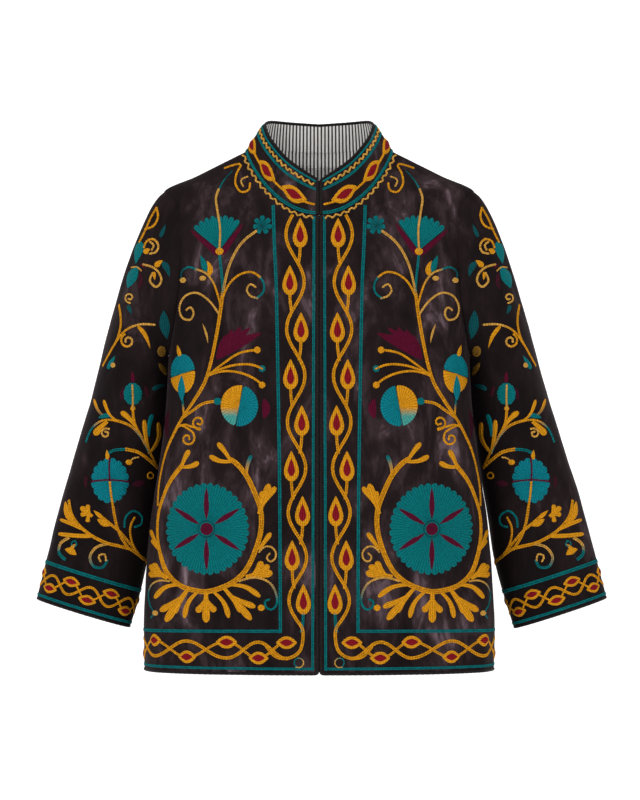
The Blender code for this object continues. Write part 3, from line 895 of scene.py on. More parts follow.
def halvedDisc(art, centre, radii, turn, dyeAt=None):
    # a gold half that starts this far from straight up, and a teal one
    sewDisc(art, centre, radii, "gold", height=1.3, turns=(turn, turn + 180), dyeAt=dyeAt)
    sewDisc(art, centre, radii, "brightteal", height=1.3, turns=(turn + 180, turn + 360))


def rosette(art, centre, radii):
    sewDisc(art, centre, radii, "teal", 36, 0.06, 1.1, perLobe=6, rings=9)
    for k in range(6):
        way = wayTo(60 * k) * radii
        ends = [np.array(centre) + way * s for s in (0.18, 0.52, 0.87)]
        sewPatch(art, ends, 9.0, "maroon", "lens", 0.5, 0.95, rows=12)
    sewDisc(art, centre, (8.2, 8.2), "maroon", height=0.9, lift=0.9)
    sewRow(art, spiral(centre, 10.0, 0, 1.0, close=1.0, count=20), 1.8, "darkteal", lift=0.9)


def flowerPanel():
    art = []
    # main stem and wreath
    stem = [(119, 464), (123, 434), (128, 405), (134, 377), (141, 355), (156, 330), (169, 311)]
    stem += [(180, 291), (189, 271), (195, 249), (199, 226), (200, 204)]
    sewRow(art, stem, 4.6, "gold", lift=0.15)
    right = [(110, 261), (102, 256), (90, 242), (79.5, 221), (72, 200), (71, 178), (76.5, 154)]
    right += [(90, 125), (106, 110), (126, 101)]
    left = [(169, 253), (184, 233), (193, 213), (199, 192), (200, 166), (196, 142), (187, 119)]
    left += [(171, 105), (151, 99), (139, 98)]
    sewRow(art, right + [(139, 98)], 6.4, "gold", lift=0.2)
    sewRow(art, left, 6.4, "gold", lift=0.2)
    for root, tips in (
        ((170, 251), [((160, 272), -0.03), ((148, 257), 0.1)]),
        ((108, 258), [((125, 281), 0.03), ((135, 265), -0.1)]),
    ):
        fingers(art, root, tips, 8.5)
    sewPatch(art, [(89, 240), (88, 253), (83, 266)], 6.5, "gold", "finger", end="teal")
    # outer leaves of the wreath
    for root, main, others, width in (
        ((74, 194), (61, 231), [(53, 227), (70, 222)], 11),
        ((74, 150), (59, 171), [], 8),
        ((90, 117), (57, 122), [(61, 131), (70, 136)], 12),
        ((117, 103), (83, 64), [(78, 80), (95, 73)], 11),
        ((139, 99), (139, 60), [(151, 73), (127, 74)], 12),
        ((160, 103), (190, 60), [(197, 73), (180, 70)], 12),
        ((187, 113), (211, 128), [(212, 117), (206, 131)], 12),
        ((197, 147), (208, 160), [(210, 172)], 8),
    ):
        lobedLeaf(art, root, main, others, width)
    for root, tip, bend in (
        ((112, 107), (72, 92), -0.12),
        ((131, 99), (111, 66), -0.12),
        ((148, 99), (166, 65), 0.12),
        ((170, 106), (204, 88), 0.16),
    ):
        fingers(art, root, [(tip, bend)], 8.5)
    curl = [(186, 110), (199, 110), (208, 104), (212, 92), (209, 78)]
    sewRow(art, curl, 2.6, "palegold", "teal")
    sewRow(art, [(209, 78), (205, 70), (208, 64)], 2.2, "teal")
    sewDisc(art, (203, 70), (4, 3.4), "palegold", height=0.8)
    curl = [(73, 148), (66, 154), (58, 153), (53, 146), (55, 138), (61, 136), (64, 141), (61, 145)]
    sewRow(art, curl, 2.6, "palegold")
    curl = [(97, 112), (78, 116), (61, 110), (53, 97), (52, 84), (58, 77), (65, 80), (66, 87)]
    sewRow(art, curl + [(62, 89)], 3.2, "palegold", "teal")
    sewDisc(art, (71, 79), (4.5, 4.0), "gold", height=1.0)
    rosette(art, (138, 175), (53.5, 58))
    # double curl above the wreath
    for stalk, curl in (
        ([(175, 300), (166, 303), (158, 301)], spiral((148, 306), 9, 200, 1.15, -1)),
        ([(172, 303), (163, 299), (155, 293)], spiral((162, 286), 9, 300, 1.1, -1)),
    ):
        sewRow(art, stalk + curl, 3.0, "gold")
    # pomegranate and side disc
    sewRow(art, [(168, 312), (155, 321), (143, 329), (126, 332)], 3.8, "gold")
    halvedDisc(art, (98, 326.5), (23.8, 26), -11, palerBelow)
    sewDisc(art, (125, 332), (5, 4.6), "teal", height=1.2)
    sewPatch(art, [(68, 335), (65, 323), (68, 311)], 11, "maroon", "horn", 0.5)
    sewRow(art, [(167, 314), (168, 326), (169, 336)], 3.6, "gold", "teal")
    halvedDisc(art, (169, 366), (16.5, 25), 102)
    sewPatch(art, [(169, 332), (169.5, 346), (169, 364)], 9.5, "brightteal", "lens", 0.9, 1.2)
    sewPatch(art, [(186, 322), (190, 303), (187, 285)], 8, "darkmaroon", "lens", 0.4)
    sewPatch(art, [(172, 387), (174, 394), (176, 402)], 6, "gold", "drop", 0.9)
    sewPatch(art, [(137, 403), (139, 414), (144, 428)], 3, "palegold", "lens", 0.6)
    # maroon plume and its filaments
    plume = [((116, 414), 0.1), ((107, 421), 0.06), ((96, 424), 0.03), ((84, 423), -0.02)]
    plume += [((70, 416), -0.05), ((84, 406), -0.1), ((100, 402), -0.08)]
    fingers(art, (127, 383), plume, 14, "maroon", "lens", 0.7)
    for line, end in (
        ([(136, 364), (117, 379), (98, 391), (76, 395)], "gold"),
        ([(135, 366), (106, 376), (84, 377), (70, 372)], "teal"),
        ([(136, 364), (117, 369), (97, 367), (80, 360), (70, 352)], "gold"),
    ):
        sewRow(art, line, 3.0, "gold", lift=0.5)
        sewDisc(art, line[-1], (4.3, 4.3), end, height=1.1)
    # fan flower with its stems
    fanFlower(art, (123, 518), 7, 46)
    stalk = [(123, 518), (122.5, 545), (126, 568), (128, 584), (125, 594)]
    sewRow(art, stalk, 3.0, "palegold", lift=1.25)
    sewRow(art, [(125, 594), (119, 606), (109, 618)], 2.2, "teal", "darkteal")
    sewDisc(art, (123, 517), (5, 4.5), "gold", height=0.9, lift=1.0)
    sewRow(art, [(123, 512), (121, 494), (119, 474), (119, 462)], 3.6, "teal")
    # blossom, curls and sprig beside it
    sewRow(art, [(119, 464), (110, 502), (96, 527), (78, 542)], 3.4, "palegold", lift=0.1)
    for k in range(7):
        tip = np.array((70, 550)) + 12 * wayTo(50 * k - 150)
        sewPatch(art, [(71, 548), tip], 8.5, "darkteal", "finger", 0.8, end="teal", rows=9)
    sewRow(art, [(119, 460), (109, 479), (96, 489), (83, 491), (73, 485)], 3.2, "gold")
    sewRow(art, [(73, 485), (68, 476), (69, 466), (77, 459)], 3.0, "teal")
    sewRow(art, [(77, 459), (85, 462), (89, 469), (85, 476), (79, 473)], 2.8, "palegold")
    stem = [(122, 452), (126, 466), (131, 479), (140, 490), (152, 495)]
    sewRow(art, stem, 3.0, "gold", "palegold")
    sewRow(art, [(152, 495), (162, 498), (170, 493), (171, 485)], 3.0, "teal", "darkteal")
    sewPatch(art, [(139, 492), (143, 503), (147, 513)], 9, "teal", "drop", 0.9)
    sewPatch(art, [(136, 487), (135, 497), (139, 506)], 8, "gold", "drop", 1.0)
    sewDisc(art, (144, 484), (4.4, 3.2), "palegold", height=1.0)
    sewDisc(art, (169, 482), (4.2, 3.6), "palegold", height=0.8)
    curl = [(124, 440), (137, 457), (152, 466), (166, 462), (173, 448), (169, 435), (159, 433)]
    sewRow(art, curl + [(155, 441), (159, 448), (164, 445)], 3.0, "palegold")
    # shoulder curl beside the collar
    curl = [(117, 623), (98, 627), (103, 615), (104, 602), (97, 592), (88, 594), (86, 602)]
    sewRow(art, curl, 3.0, "gold")
    sewRow(art, [(90, 611), (97, 607), (95, 600)], 2.4, "palegold")
    return art


def scallopFlower(art, centre, size):
    # a round flower with a thin cross over it, its stem running up to the middle
    (x, y), (wide, tall) = centre, size
    sewDisc(art, centre, size, "brightteal", 16, 0.09, 1.2, perLobe=5)
    across = [(x - 0.9 * wide, y - 1), (x, y + 1), (x + 0.9 * wide, y - 1)]
    upward = [(x, y), (x + 0.7, y + 0.5 * tall), (x, y + 0.92 * tall)]
    stem = [(x - 4, y - 1.1 * tall), (x - 1.5, y - 0.6 * tall), (x, y - 2)]
    sewRow(art, across, 2.4, "maroon", lift=1.2)
    sewRow(art, upward, 2.4, "maroon", lift=1.2)
    sewRow(art, stem, 3.2, "gold", lift=1.15)


def sleeveFlowers():
    # points as seen from the front, like the body's
    art = []
    # drop leaf, curl and loop at the sleeve head
    sewRow(art, [(203, 573), (211, 559), (216, 547), (224, 531)], 3.2, "gold")
    sewRow(art, [(203, 573), (201, 561), (206, 551), (216, 547)], 3.2, "gold")
    curl = [(218, 524), (215, 531), (208, 534), (202, 530), (200, 523), (204, 517), (209, 516)]
    sewRow(art, curl, 3.2, "gold", "palegold")
    sewRow(art, [(210, 530), (206, 526), (208, 521)], 3.0, "palegold")
    sewPatch(art, [(218, 516), (214, 520), (210, 521)], 8, "gold", "drop", 0.9)
    sewPatch(art, [(198, 536), (194, 545), (191, 553)], 6, "darkteal", "drop", 0.7)
    loop = [(218, 502), (206, 498), (198, 490), (196, 481), (202, 474), (210, 481), (207, 491)]
    sewRow(art, loop, 3.2, "palegold")
    sewPatch(art, [(205, 493), (205, 488), (204, 482)], 4.5, "gold", "drop", 0.8)
    sewPatch(art, [(204, 499), (199, 504), (194, 507)], 8, "gold", "drop", 0.9)
    sewPatch(art, [(195, 505), (189, 497), (186, 486)], 9, "darkteal", "drop", 0.7)
    # half-hidden teal flower on the outside of the arm
    sewPatch(art, [(222, 531), (227, 514), (229, 503)], 13, "teal", "drop", 0.9)
    sewPatch(art, [(226, 501), (233, 488), (239, 473)], 15, "teal", "lens", 0.9)
    sewRow(art, [(222, 495), (227, 499), (234, 499)], 2.2, "palegold")
    sewPatch(art, [(222, 503), (219, 500), (217, 497)], 4, "maroon", "drop", 0.6)
    sewPatch(art, [(224, 494), (222, 480), (226, 470)], 6, "darkmaroon", "lens", 0.4)
    sewRow(art, spiral((236, 461), 6.5, 180, 1.1, -1, 0.3), 2.6, "palegold")
    sewPatch(art, [(238, 452), (236, 446), (233, 440)], 6, "darkteal", "drop", 0.5)
    # forked stem with a spiral and a leaf
    sewRow(art, [(270, 377), (261, 393), (251, 411), (247, 430), (250, 452)], 3.4, "gold")
    sewRow(art, [(254, 404), (241, 420), (225, 427), (205, 427)], 3.2, "gold", "palegold")
    # dark teal here is partly the thread's colour and partly painted shade, where the sleeve turns
    # in beside the body
    sewPatch(art, [(193, 445), (192, 427), (189, 409)], 14, "darkteal", "lens", 0.8)
    sewPatch(art, [(226, 426), (216, 414), (210, 397)], 6, "gold", "drop", 1.0)
    sewRow(art, spiral((238, 407), 9, 30, 1.2, 1, 0.3), 3.2, "gold", "palegold")
    sewDisc(art, (196, 394), (5.5, 7), "bronze", height=0.8)
    sewPatch(art, [(200, 380), (195, 372), (191, 364)], 8, "bronze", "lens", 0.4)
    sewPatch(art, [(208, 346), (199, 351), (191, 352)], 7, "darkteal", "drop", 0.7)
    sewPatch(art, [(264, 372), (259, 381), (254, 389)], 7, "teal", "drop", 0.8)
    sewDisc(art, (257, 377), (3.2, 3.4), "palegold", height=0.8)
    # small flower and its stem
    sewRow(art, [(203, 250), (211, 267), (223, 290), (230, 305), (232, 322)], 3.6, "gold", lift=0.1)
    for low, high in (((244, 350), (247, 332)), ((217, 352), (213, 336))):
        middle = np.mean([low, high], axis=0)
        sewPatch(art, [low, middle, high], 5, "darkmaroon", "lens", 0.4)
    sewDisc(art, (232, 341), (12, 14.5), "teal", 11, 0.06, 1.1, perLobe=6)
    sewRow(art, [(232, 324), (232, 338), (232.5, 351)], 2.8, "palegold", lift=1.1)
    sewDisc(art, (232, 323), (3.2, 3.2), "gold", height=1.0, lift=0.2)
    sewPatch(art, [(232, 355), (232, 363), (233, 370)], 6, "maroon", "drop", 0.6)
    sewPatch(art, [(228, 300), (237, 311), (247, 319)], 9, "gold", "finger", 1.1)
    fingers(art, (212, 267), [((218, 309), -0.03), ((201, 306), 0.14)], 8)
    sewPatch(art, [(213, 288), (212, 302), (208, 316)], 8, "teal", "finger", 0.9)
    # teal stem to a spray of thin leaves
    sewRow(art, [(212, 267), (220, 284), (232, 299), (243, 305), (254, 308)], 3.6, "teal", "gold")
    sewPatch(art, [(252, 308), (261, 315), (269, 334)], 5.5, "gold", "finger", 1.0)
    sewPatch(art, [(258, 311), (273, 317), (282, 335)], 5, "darkteal", "finger", 0.8, end="gold")
    sewRow(art, [(253, 308), (270, 308), (283, 299), (291, 282)], 3.2, "gold", "teal")
    sewPatch(art, [(264, 307), (272, 300), (281, 290)], 11, "gold", "finger", 1.1)
    sewPatch(art, [(258, 313), (267, 314), (276, 311)], 7, "teal", "lens", 0.7)
    sewRow(art, spiral((266, 292), 6.5, 330, 1.1, 1, 0.3), 3.0, "palegold")
    # large flower
    scallopFlower(art, (261, 233), (24.5, 29.5))
    sewPatch(art, [(264, 259), (264, 265), (265, 272)], 6, "gold", "drop", 1.0)
    sewPatch(art, [(234, 228), (226, 229), (217, 231)], 9, "darkmaroon", "lens", 0.4)
    sewPatch(art, [(290, 240), (292, 232), (291, 223)], 5, "darkmaroon", "lens", 0.4)
    sewRow(art, [(262, 268), (255, 271), (240, 272)], 3.8, "teal")
    sewRow(art, [(240, 272), (225, 268), (213, 259), (203, 249)], 4.4, "gold", lift=0.1)
    sewDisc(art, (237, 256), (4.4, 3.6), "gold", height=0.9)
    sewRow(art, [(235, 258), (231, 261), (226, 262)], 2.4, "palegold")
    sewRow(art, spiral((211, 239), 3.8, 0, 0.9, 1, 0.9), 2.2, "gold")
    # stems above the cuff
    low = [(213, 128), (224, 138), (236, 147), (249, 151), (265, 155), (285, 165), (300, 177)]
    sewRow(art, low + [(309, 190), (313, 207)], 4.2, "gold", lift=0.1)
    sewPatch(art, [(302, 178), (313, 189), (318, 207)], 11, "gold", "lens", 0.9)
    sewPatch(art, [(282, 164), (302, 164), (327, 166)], 6, "gold", "even", 1.0)
    sewPatch(art, [(292, 171), (308, 178), (325, 184)], 5, "gold", "even", 1.0)
    sewRow(art, [(238, 148), (247, 162), (253, 178), (257, 200)], 3.8, "gold")
    sewRow(art, [(226, 141), (238, 156), (250, 170), (262, 180), (274, 190)], 3.8, "gold")
    sewPatch(art, [(270, 186), (276, 191), (282, 196)], 6, "gold", "drop", 1.0)
    sewPatch(art, [(259, 177), (268, 180), (277, 185)], 9, "gold", "lens", 1.0)
    lobedLeaf(art, (283, 188), (298, 200), [(289, 203), (298, 190), (289, 181)], 9)
    hook = [(243, 176), (241, 188), (232, 195), (222, 188), (223, 178), (230, 175)]
    sewRow(art, hook, 3.2, "teal")
    sewRow(art, [(231, 186), (236, 174), (234, 156), (226, 140)], 3.2, "gold")
    bow = [(264, 154), (279, 149), (286, 137), (281, 126), (270, 125), (265, 133)]
    sewRow(art, bow, 3.6, "palegold", "teal")
    sewRow(art, [(266, 134), (268, 141), (275, 139), (273, 133)], 2.8, "palegold")
    sewRow(art, [(314, 161), (324, 153), (325, 142), (318, 135)], 4.4, "palegold", "teal")
    sewPatch(art, [(318, 147), (310, 145), (303, 140)], 9, "gold", "lens", 1.0)
    sewPatch(art, [(311, 143), (308, 150), (303, 154)], 6, "gold", "drop", 0.9)
    sewRow(art, spiral((306, 154), 3.4, 0, 0.9, 1, 0.9), 2.0, "teal")
    return art


# Laying the drawing on the cloth
def lookOnto(piece, closed=False):
    points = piece["points"]
    if closed:
        points = np.concatenate([points, points[:, :1]], axis=1)
    quads = quadsOf(np.arange(points[..., 0].size).reshape(points.shape[:2]))
    triangles = np.concatenate([quads[:, :3], quads[:, [0, 2, 3]]])
    verts = [Vector(p) for p in points.reshape(-1, 3)]
    marks = [Vector((*m, 0)) for m in piece["cut"].reshape(-1, 2)]
    return BVHTree.FromPolygons(verts, triangles.tolist()), verts, marks, triangles


# how the drawing is looked up on the cloth: from this far, and moved by this share of the way to
# the piece's middle, so many times, where a point falls beside it
sight = {"from": 900, "move": 0.02, "tries": 40, "front": 20.0, "back": 5.0, "sleeveTurn": 0.3}


def seenFrom(lookup, side, behind, aim):
    # where a point seen square on from the front, or from behind, lies in the cloth's measure
    tree, verts, marks, triangles = lookup
    sign = 1 if behind else -1
    start, way = sign * sight["from"], Vector((0, -sign, 0))

    def at(x, h):
        target = aim(h)
        for k in range(sight["tries"]):
            px = x + (target - x) * sight["move"] * k
            spot, _, which, _ = tree.ray_cast(Vector((side * px, start, h + form["hem"])), way)
            if spot is not None:
                corners = triangles[which]
                ends = [verts[i] for i in corners] + [marks[i] for i in corners]
                return barycentric_transform(spot, *ends)[:2]
        return None

    return at


def laid(art, at):
    # the drawing's points in the cloth's own measure, without what falls off the piece
    out = []
    for item in art:
        key = "line" if item["kind"] == "row" else "grid"
        places = [at(*p) for p in item[key].reshape(-1, 2)]
        if None not in places:
            out.append({**item, key: np.array(places).reshape(item[key].shape)})
    return out


def shifted(art, move, sign=1.0):
    # straight into the cloth's own measure
    keys = [("line" if item["kind"] == "row" else "grid") for item in art]
    return [{**item, key: item[key] * [sign, 1.0] + move} for item, key in zip(art, keys)]


def markDyes(mesh, dyes):
    mark(mesh, "threadColour", "FLOAT_COLOR", np.insert(np.array(dyes), 3, 1, axis=1))


# rowSize is the width of one row, which each link overlaps, and reach is in metres
stitch = {
    "pitch": 3.1,
    "rowSize": 2.2,
    "overlap": 1.12,
    "longer": 1.3,
    "longest": 2.2,
    "height": 0.45,
    "reach": 0.0008,
    "fade": (0.35, 0.3),
}


def flatRows(name, items):
    # each stem as one or more rows of stitches side by side
    verts, edges, widths, dyes, lifts = [], [], [], [], []
    for item in items:
        line, width = item["line"], item["width"]
        step = np.linalg.norm(np.diff(line, axis=0), axis=1)
        line = line[np.concatenate([[True], step > 0.05])]
        if len(line) < 2:
            continue
        count = 1 if "single" in item else max(1, int(round(width / stitch["rowSize"])))
        out = sideways(line)
        first, last = item["dyes"]
        begin, over = stitch["fade"]
        share = np.clip((np.linspace(0, 1, len(line))[:, None] - begin) / over, 0, 1)
        for k in range(count):
            start = len(verts)
            verts += (line + ((k + 0.5) / count - 0.5) * width * out).tolist()
            edges += [(start + i, start + i + 1) for i in range(len(line) - 1)]
            widths += [width / count * stitch["overlap"]] * len(line)
            dyes += (first * (1 - share) + last * share).tolist()
            lifts += [item["lift"]] * len(line)
    mesh = newMesh(name, np.insert(np.array(verts), 2, 0, axis=1), [], edges)
    mark(mesh, "rowWidth", "FLOAT", np.array(widths) * mm)
    mark(mesh, "lift", "FLOAT", np.array(lifts) * mm)
    markDyes(mesh, dyes)
    return putIn(name, mesh)


def flatPatches(name, items, flip):
    verts, faces, dyes, uvs = [], [], [], []
    for item in items:
        grid, tall = item["grid"], item["tall"]
        quads = quadsOf(np.arange(tall.size).reshape(tall.shape))
        x, y = grid.reshape(-1, 2)[quads].transpose(2, 0, 1)
        area = np.sum(x * np.roll(y, -1, 1) - np.roll(x, -1, 1) * y)
        if (area < 0) != flip:
            quads = quads[:, ::-1]
        faces += (quads + len(verts)).tolist()
        verts += np.concatenate([grid, tall[..., None]], -1).reshape(-1, 3).tolist()
        dyes += item["colour"].reshape(-1, 3).tolist()
        uvs.append(item["sew"].reshape(-1, 2)[quads].reshape(-1, 2))
    mesh = newMesh(name, verts, faces)
    setUvs(mesh, "sew", np.concatenate(uvs))
    markDyes(mesh, dyes)
    return putIn(name, mesh)


# The stitches are set on the cloth by Geometry Nodes. These make and end such a tree.
def newTree(name, sockets):
    tree = bpy.data.node_groups.new(name, "GeometryNodeTree")
    for label, kind in [("Geometry", "Geometry"), *sockets]:
        kind = "NodeSocket" + kind
        tree.interface.new_socket(name=label, in_out="INPUT", socket_type=kind)
    sort = "NodeSocketGeometry"
    tree.interface.new_socket(name="Geometry", in_out="OUTPUT", socket_type=sort)
    return tree, addNode(tree, "NodeGroupInput").outputs


def geometry(tree, kind, inputs=None, **settings):
    return addNode(tree, "GeometryNode" + kind, inputs, **settings).outputs[0]


def vectors(tree, operation, first, second):
    # the second is a factor where the operation is SCALE
    inputs = {0: first, ("Scale" if operation == "SCALE" else 1): second}
    return addNode(tree, "ShaderNodeVectorMath", inputs, operation=operation).outputs[0]


def stored(tree, label, kind="FLOAT_VECTOR"):
    return geometry(tree, "InputNamedAttribute", {"Name": label}, data_type=kind)


def store(tree, points, label, value, kind="FLOAT_VECTOR"):
    inputs = {"Geometry": points, "Name": label, "Value": value}
    return geometry(tree, "StoreNamedAttribute", inputs, data_type=kind, domain="POINT")


def shapeOf(tree, thing):
    return addNode(tree, "GeometryNodeObjectInfo", {"Object": thing}).outputs["Geometry"]


def onCloth(tree, cloth, place, value):
    # the value at this place in the cloth's own measure, and whether the cloth has such a place
    inputs = {"Mesh": cloth, "Value": value, "UV Map": stored(tree, "cut"), "Sample UV": place}
    kind = "GeometryNodeSampleUVSurface"
    return addNode(tree, kind, inputs, data_type="FLOAT_VECTOR").outputs


def onlyOnCloth(tree, points, valid):
    # what would fall off the cloth is left out
    missed = addNode(tree, "FunctionNodeBooleanMath", {0: valid}, operation="NOT").outputs[0]
    inputs = {"Geometry": points, "Selection": missed}
    return geometry(tree, "DeleteGeometry", inputs, domain="POINT")


def endTree(tree, made, thread):
    real = geometry(tree, "RealizeInstances", {0: made})
    dressed = geometry(tree, "SetMaterial", {"Geometry": real, "Material": thread})
    addNode(tree, "NodeGroupOutput", {0: dressed})
    return tree


def chainTree():
    sockets = [("Cloth", "Object"), ("Link", "Object"), ("Pitch", "Float"), ("Thread", "Material")]
    tree, given = newTree("chainStitchRows", sockets)
    cloth, link = shapeOf(tree, given["Cloth"]), shapeOf(tree, given["Link"])
    curve = geometry(tree, "MeshToCurve", {"Mesh": given["Geometry"]})
    spacing = {"Curve": curve, "Length": given["Pitch"]}
    even = geometry(tree, "ResampleCurve", spacing, mode="LENGTH")
    dots = addNode(tree, "GeometryNodeCurveToPoints", {"Curve": even}, mode="EVALUATED").outputs
    place, normal = geometry(tree, "InputPosition"), geometry(tree, "InputNormal")
    # a link lies along the way between two places just before and beyond it
    ahead = vectors(tree, "SCALE", dots["Tangent"], stitch["reach"])
    here = onCloth(tree, cloth, place, place)
    there = onCloth(tree, cloth, vectors(tree, "ADD", place, ahead), place)
    before = onCloth(tree, cloth, vectors(tree, "SUBTRACT", place, ahead), place)
    up = onCloth(tree, cloth, place, normal)[0]
    along = vectors(tree, "SUBTRACT", there[0], before[0])
    points = dots["Points"]
    for found in (here, there, before):
        points = onlyOnCloth(tree, points, found[1])
    for label, value in (("along", along), ("up", up), ("spot", here[0])):
        points = store(tree, points, label, value)
    # each link is dyed a little lighter or darker
    spread = {2: 0.82, 3: 1.14, "Seed": 7}
    chance = addNode(tree, "FunctionNodeRandomValue", spread, data_type="FLOAT")
    dye = stored(tree, "threadColour", "FLOAT_COLOR")
    shade = vectors(tree, "SCALE", dye, chance.outputs[1])
    points = store(tree, points, "threadColour", shade, "FLOAT_COLOR")
    along, up, spot = (stored(tree, label) for label in ("along", "up", "spot"))
    width, lift = (stored(tree, label, "FLOAT") for label in ("rowWidth", "lift"))
    target = vectors(tree, "ADD", spot, vectors(tree, "SCALE", up, lift))
    points = geometry(tree, "SetPosition", {"Geometry": points, "Position": target})
    axes = {"Primary Axis": up, "Secondary Axis": along}
    turn = addNode(tree, "FunctionNodeAxesToRotation", axes, primary_axis="Z", secondary_axis="X")
    # a link is as long as its step on the cloth, which stretches the drawing here and there
    step = addNode(tree, "ShaderNodeVectorMath", {0: along}, operation="LENGTH").outputs["Value"]
    longer = calc(tree, "MULTIPLY", step, stitch["longer"] / (2 * stitch["reach"]))
    stretch = calc(tree, "MINIMUM", longer, stitch["longest"])
    length = calc(tree, "MULTIPLY", given["Pitch"], stretch)
    tall = calc(tree, "MULTIPLY", width, stitch["height"])
    size = addNode(tree, "ShaderNodeCombineXYZ", {0: length, 1: width, 2: tall}).outputs[0]
    inputs = {"Points": points, "Instance": link, "Rotation": turn.outputs[0], "Scale": size}
    return endTree(tree, geometry(tree, "InstanceOnPoints", inputs), given["Thread"])


def patchTree():
    sockets = [("Cloth", "Object"), ("Thread", "Material")]
    tree, given = newTree("stitchedPatches", sockets)
    cloth = shapeOf(tree, given["Cloth"])
    place, normal = geometry(tree, "InputPosition"), geometry(tree, "InputNormal")
    here = onCloth(tree, cloth, place, place)
    up = onCloth(tree, cloth, place, normal)[0]
    height = addNode(tree, "ShaderNodeSeparateXYZ", {0: place}).outputs["Z"]
    target = vectors(tree, "ADD", here[0], vectors(tree, "SCALE", up, height))
    kept = onlyOnCloth(tree, given["Geometry"], here[1])
    moved = geometry(tree, "SetPosition", {"Geometry": kept, "Position": target})
    return endTree(tree, moved, given["Thread"])


def chainLink():
    # one link of a chain stitch, in units of its own length, width and height
    ends = [(-0.5, 0.55, 0.1), (-0.2, 1.0, 0.95), (0.22, 0.86, 0.9), (0.5, 0.4, 0.05)]
    section = ((-0.5, -0.35), (-0.3, 0.85), (0.0, 0.62), (0.3, 0.85), (0.5, -0.35))
    verts = [(x, y * wide, z * high if z > 0 else z) for x, wide, high in ends for y, z in section]
    starts = [i * 5 + j for i in range(3) for j in range(4)]
    faces = [(a, a + 5, a + 6, a + 1) for a in starts]
    mesh = newMesh("chainLink", verts, faces, scale=1.0)
    mesh.shade_smooth()
    return putIn("chainLink", mesh)


def runTree(made, tree, values):
    modifier = made.modifiers.new("stitched", "NODES")
    modifier.node_group = tree
    for item in tree.interface.items_tree:
        if item.in_out == "INPUT" and item.name in values:
            modifier[item.identifier] = values[item.name]
    graph = bpy.context.evaluated_depsgraph_get()
    mesh = bpy.data.meshes.new_from_object(made.evaluated_get(graph), depsgraph=graph)
    made.modifiers.remove(modifier)
    old, made.data = made.data, mesh
    bpy.data.meshes.remove(old)
    for extra in ("rowWidth", "lift", "along", "up", "spot"):
        if extra in mesh.attributes:
            mesh.attributes.remove(mesh.attributes[extra])
    mesh.name = made.name
    mesh.shade_smooth()
    return made


rowsTree, fillsTree, link = chainTree(), patchTree(), chainLink()


def embroider(name, cloth, groups, flip):
    # groups are drawings already in the cloth's own measure
    rows, patches = ([i for i in groups if i["kind"] == kind] for kind in ("row", "patch"))
    lines = flatRows(f"{name}_rows", rows)
    values = {"Cloth": cloth, "Link": link, "Pitch": stitch["pitch"] * mm, "Thread": rowThread}
    made = [runTree(lines, rowsTree, values)]
    flat = flatPatches(f"{name}_fills", patches, flip)
    made.append(runTree(flat, fillsTree, {"Cloth": cloth, "Thread": fillThread}))
    for piece in made:
        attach(piece, "root")
        print(piece.name, sum(len(p.vertices) - 2 for p in piece.data.polygons), "triangles")


def neckTrim(fromBack):
    # the zigzag just under the collar seam
    bearing, height = neckline(40, fromBack)
    line = np.stack([girthTo(height, bearing, fromBack, False, 61), height - form["hem"]], -1)
    line = smoothLine(line, zigzag["step"])
    out = sideways(line)
    if out[0, 1] > 0:
        out = -out
    walked = np.arange(len(line)) * zigzag["step"]
    wavy = line + out * (2.9 + 1.5 * np.sin(walked * 2 * math.pi / zigzag["wave"]))[:, None]
    art = []
    sewZigzag(art, wavy[0 if fromBack else 3 : -3])
    return art


def finishCloth(made, node):
    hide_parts(node)
    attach(made, "root")


zigzag = {"step": 1.3, "wave": 9.5}

# The fronts
fronts = {}
flowers = flowerPanel()
for name, side, _ in sleeves:
    piece = bodyHalf(side, False, 3.0 + side)
    piece["cut"] = piece["cut"] + cutStart
    fronts[name] = piece
    cloth = clothMesh(f"front_{name}_cloth", piece, [velvet, lining])
    at = seenFrom(lookOnto(piece), side, False, lambda h: sight["front"])
    groups = laid(flowers + frontBorder(), at)
    groups += shifted(hemBand(True) + neckTrim(False), cutStart)
    embroider(f"front_{name}_stitching", cloth, groups, side < 0)
    finishCloth(cloth, f"front_{name}")
print("fronts sewn")

# The back, one piece of two mirrored halves, and the lining that shows below the collar
grids = ("points", "normals", "cut", "nap")
halves = [bodyHalf(s, True, 9.0 + s) for s in (-1, 1)]
for half, s in zip(halves, (-1, 1)):
    half["cut"] = half["cut"] * [s, 1] + [backMiddle, cutStart[1]]
backPiece = {k: np.concatenate([halves[0][k][:, :0:-1], halves[1][k]], axis=1) for k in grids}
backPiece["thick"] = form["cloth"]
backCloth = clothMesh("back_cloth", backPiece, [velvet, lining])
backLookup = lookOnto(backPiece)
for s, name in ((-1, "right"), (1, "left")):
    groups = laid(flowers, seenFrom(backLookup, s, True, lambda h: sight["back"]))
    groups += shifted(hemBand(False) + neckTrim(True), [backMiddle, cutStart[1]], s)
    embroider(f"back_{name}_stitching", backCloth, groups, s > 0)
finishCloth(backCloth, "back")


def justInside(piece, keys, near, name):
    # a thin striped sheet just inside part of a piece
    sheet = {k: piece[k][near] for k in keys}
    sheet["cut"] = sheet.pop("inside", sheet.get("cut"))
    sheet["points"] = sheet["points"] - (form["cloth"] + form["seamGap"]) * sheet["normals"]
    sheet["thick"] = form["lining"]
    return clothMesh(name, sheet, [lining, lining])


middle, reach = backPiece["points"].shape[1] // 2, weave["backNeckColumns"]
near = (slice(-1 - weave["armholeRows"] // 3, None), slice(middle - reach, middle + reach + 1))
neckCloth = justInside(backPiece, grids, near, "back_neck_lining_cloth")
finishCloth(neckCloth, "back_neck_lining")
print("back sewn")


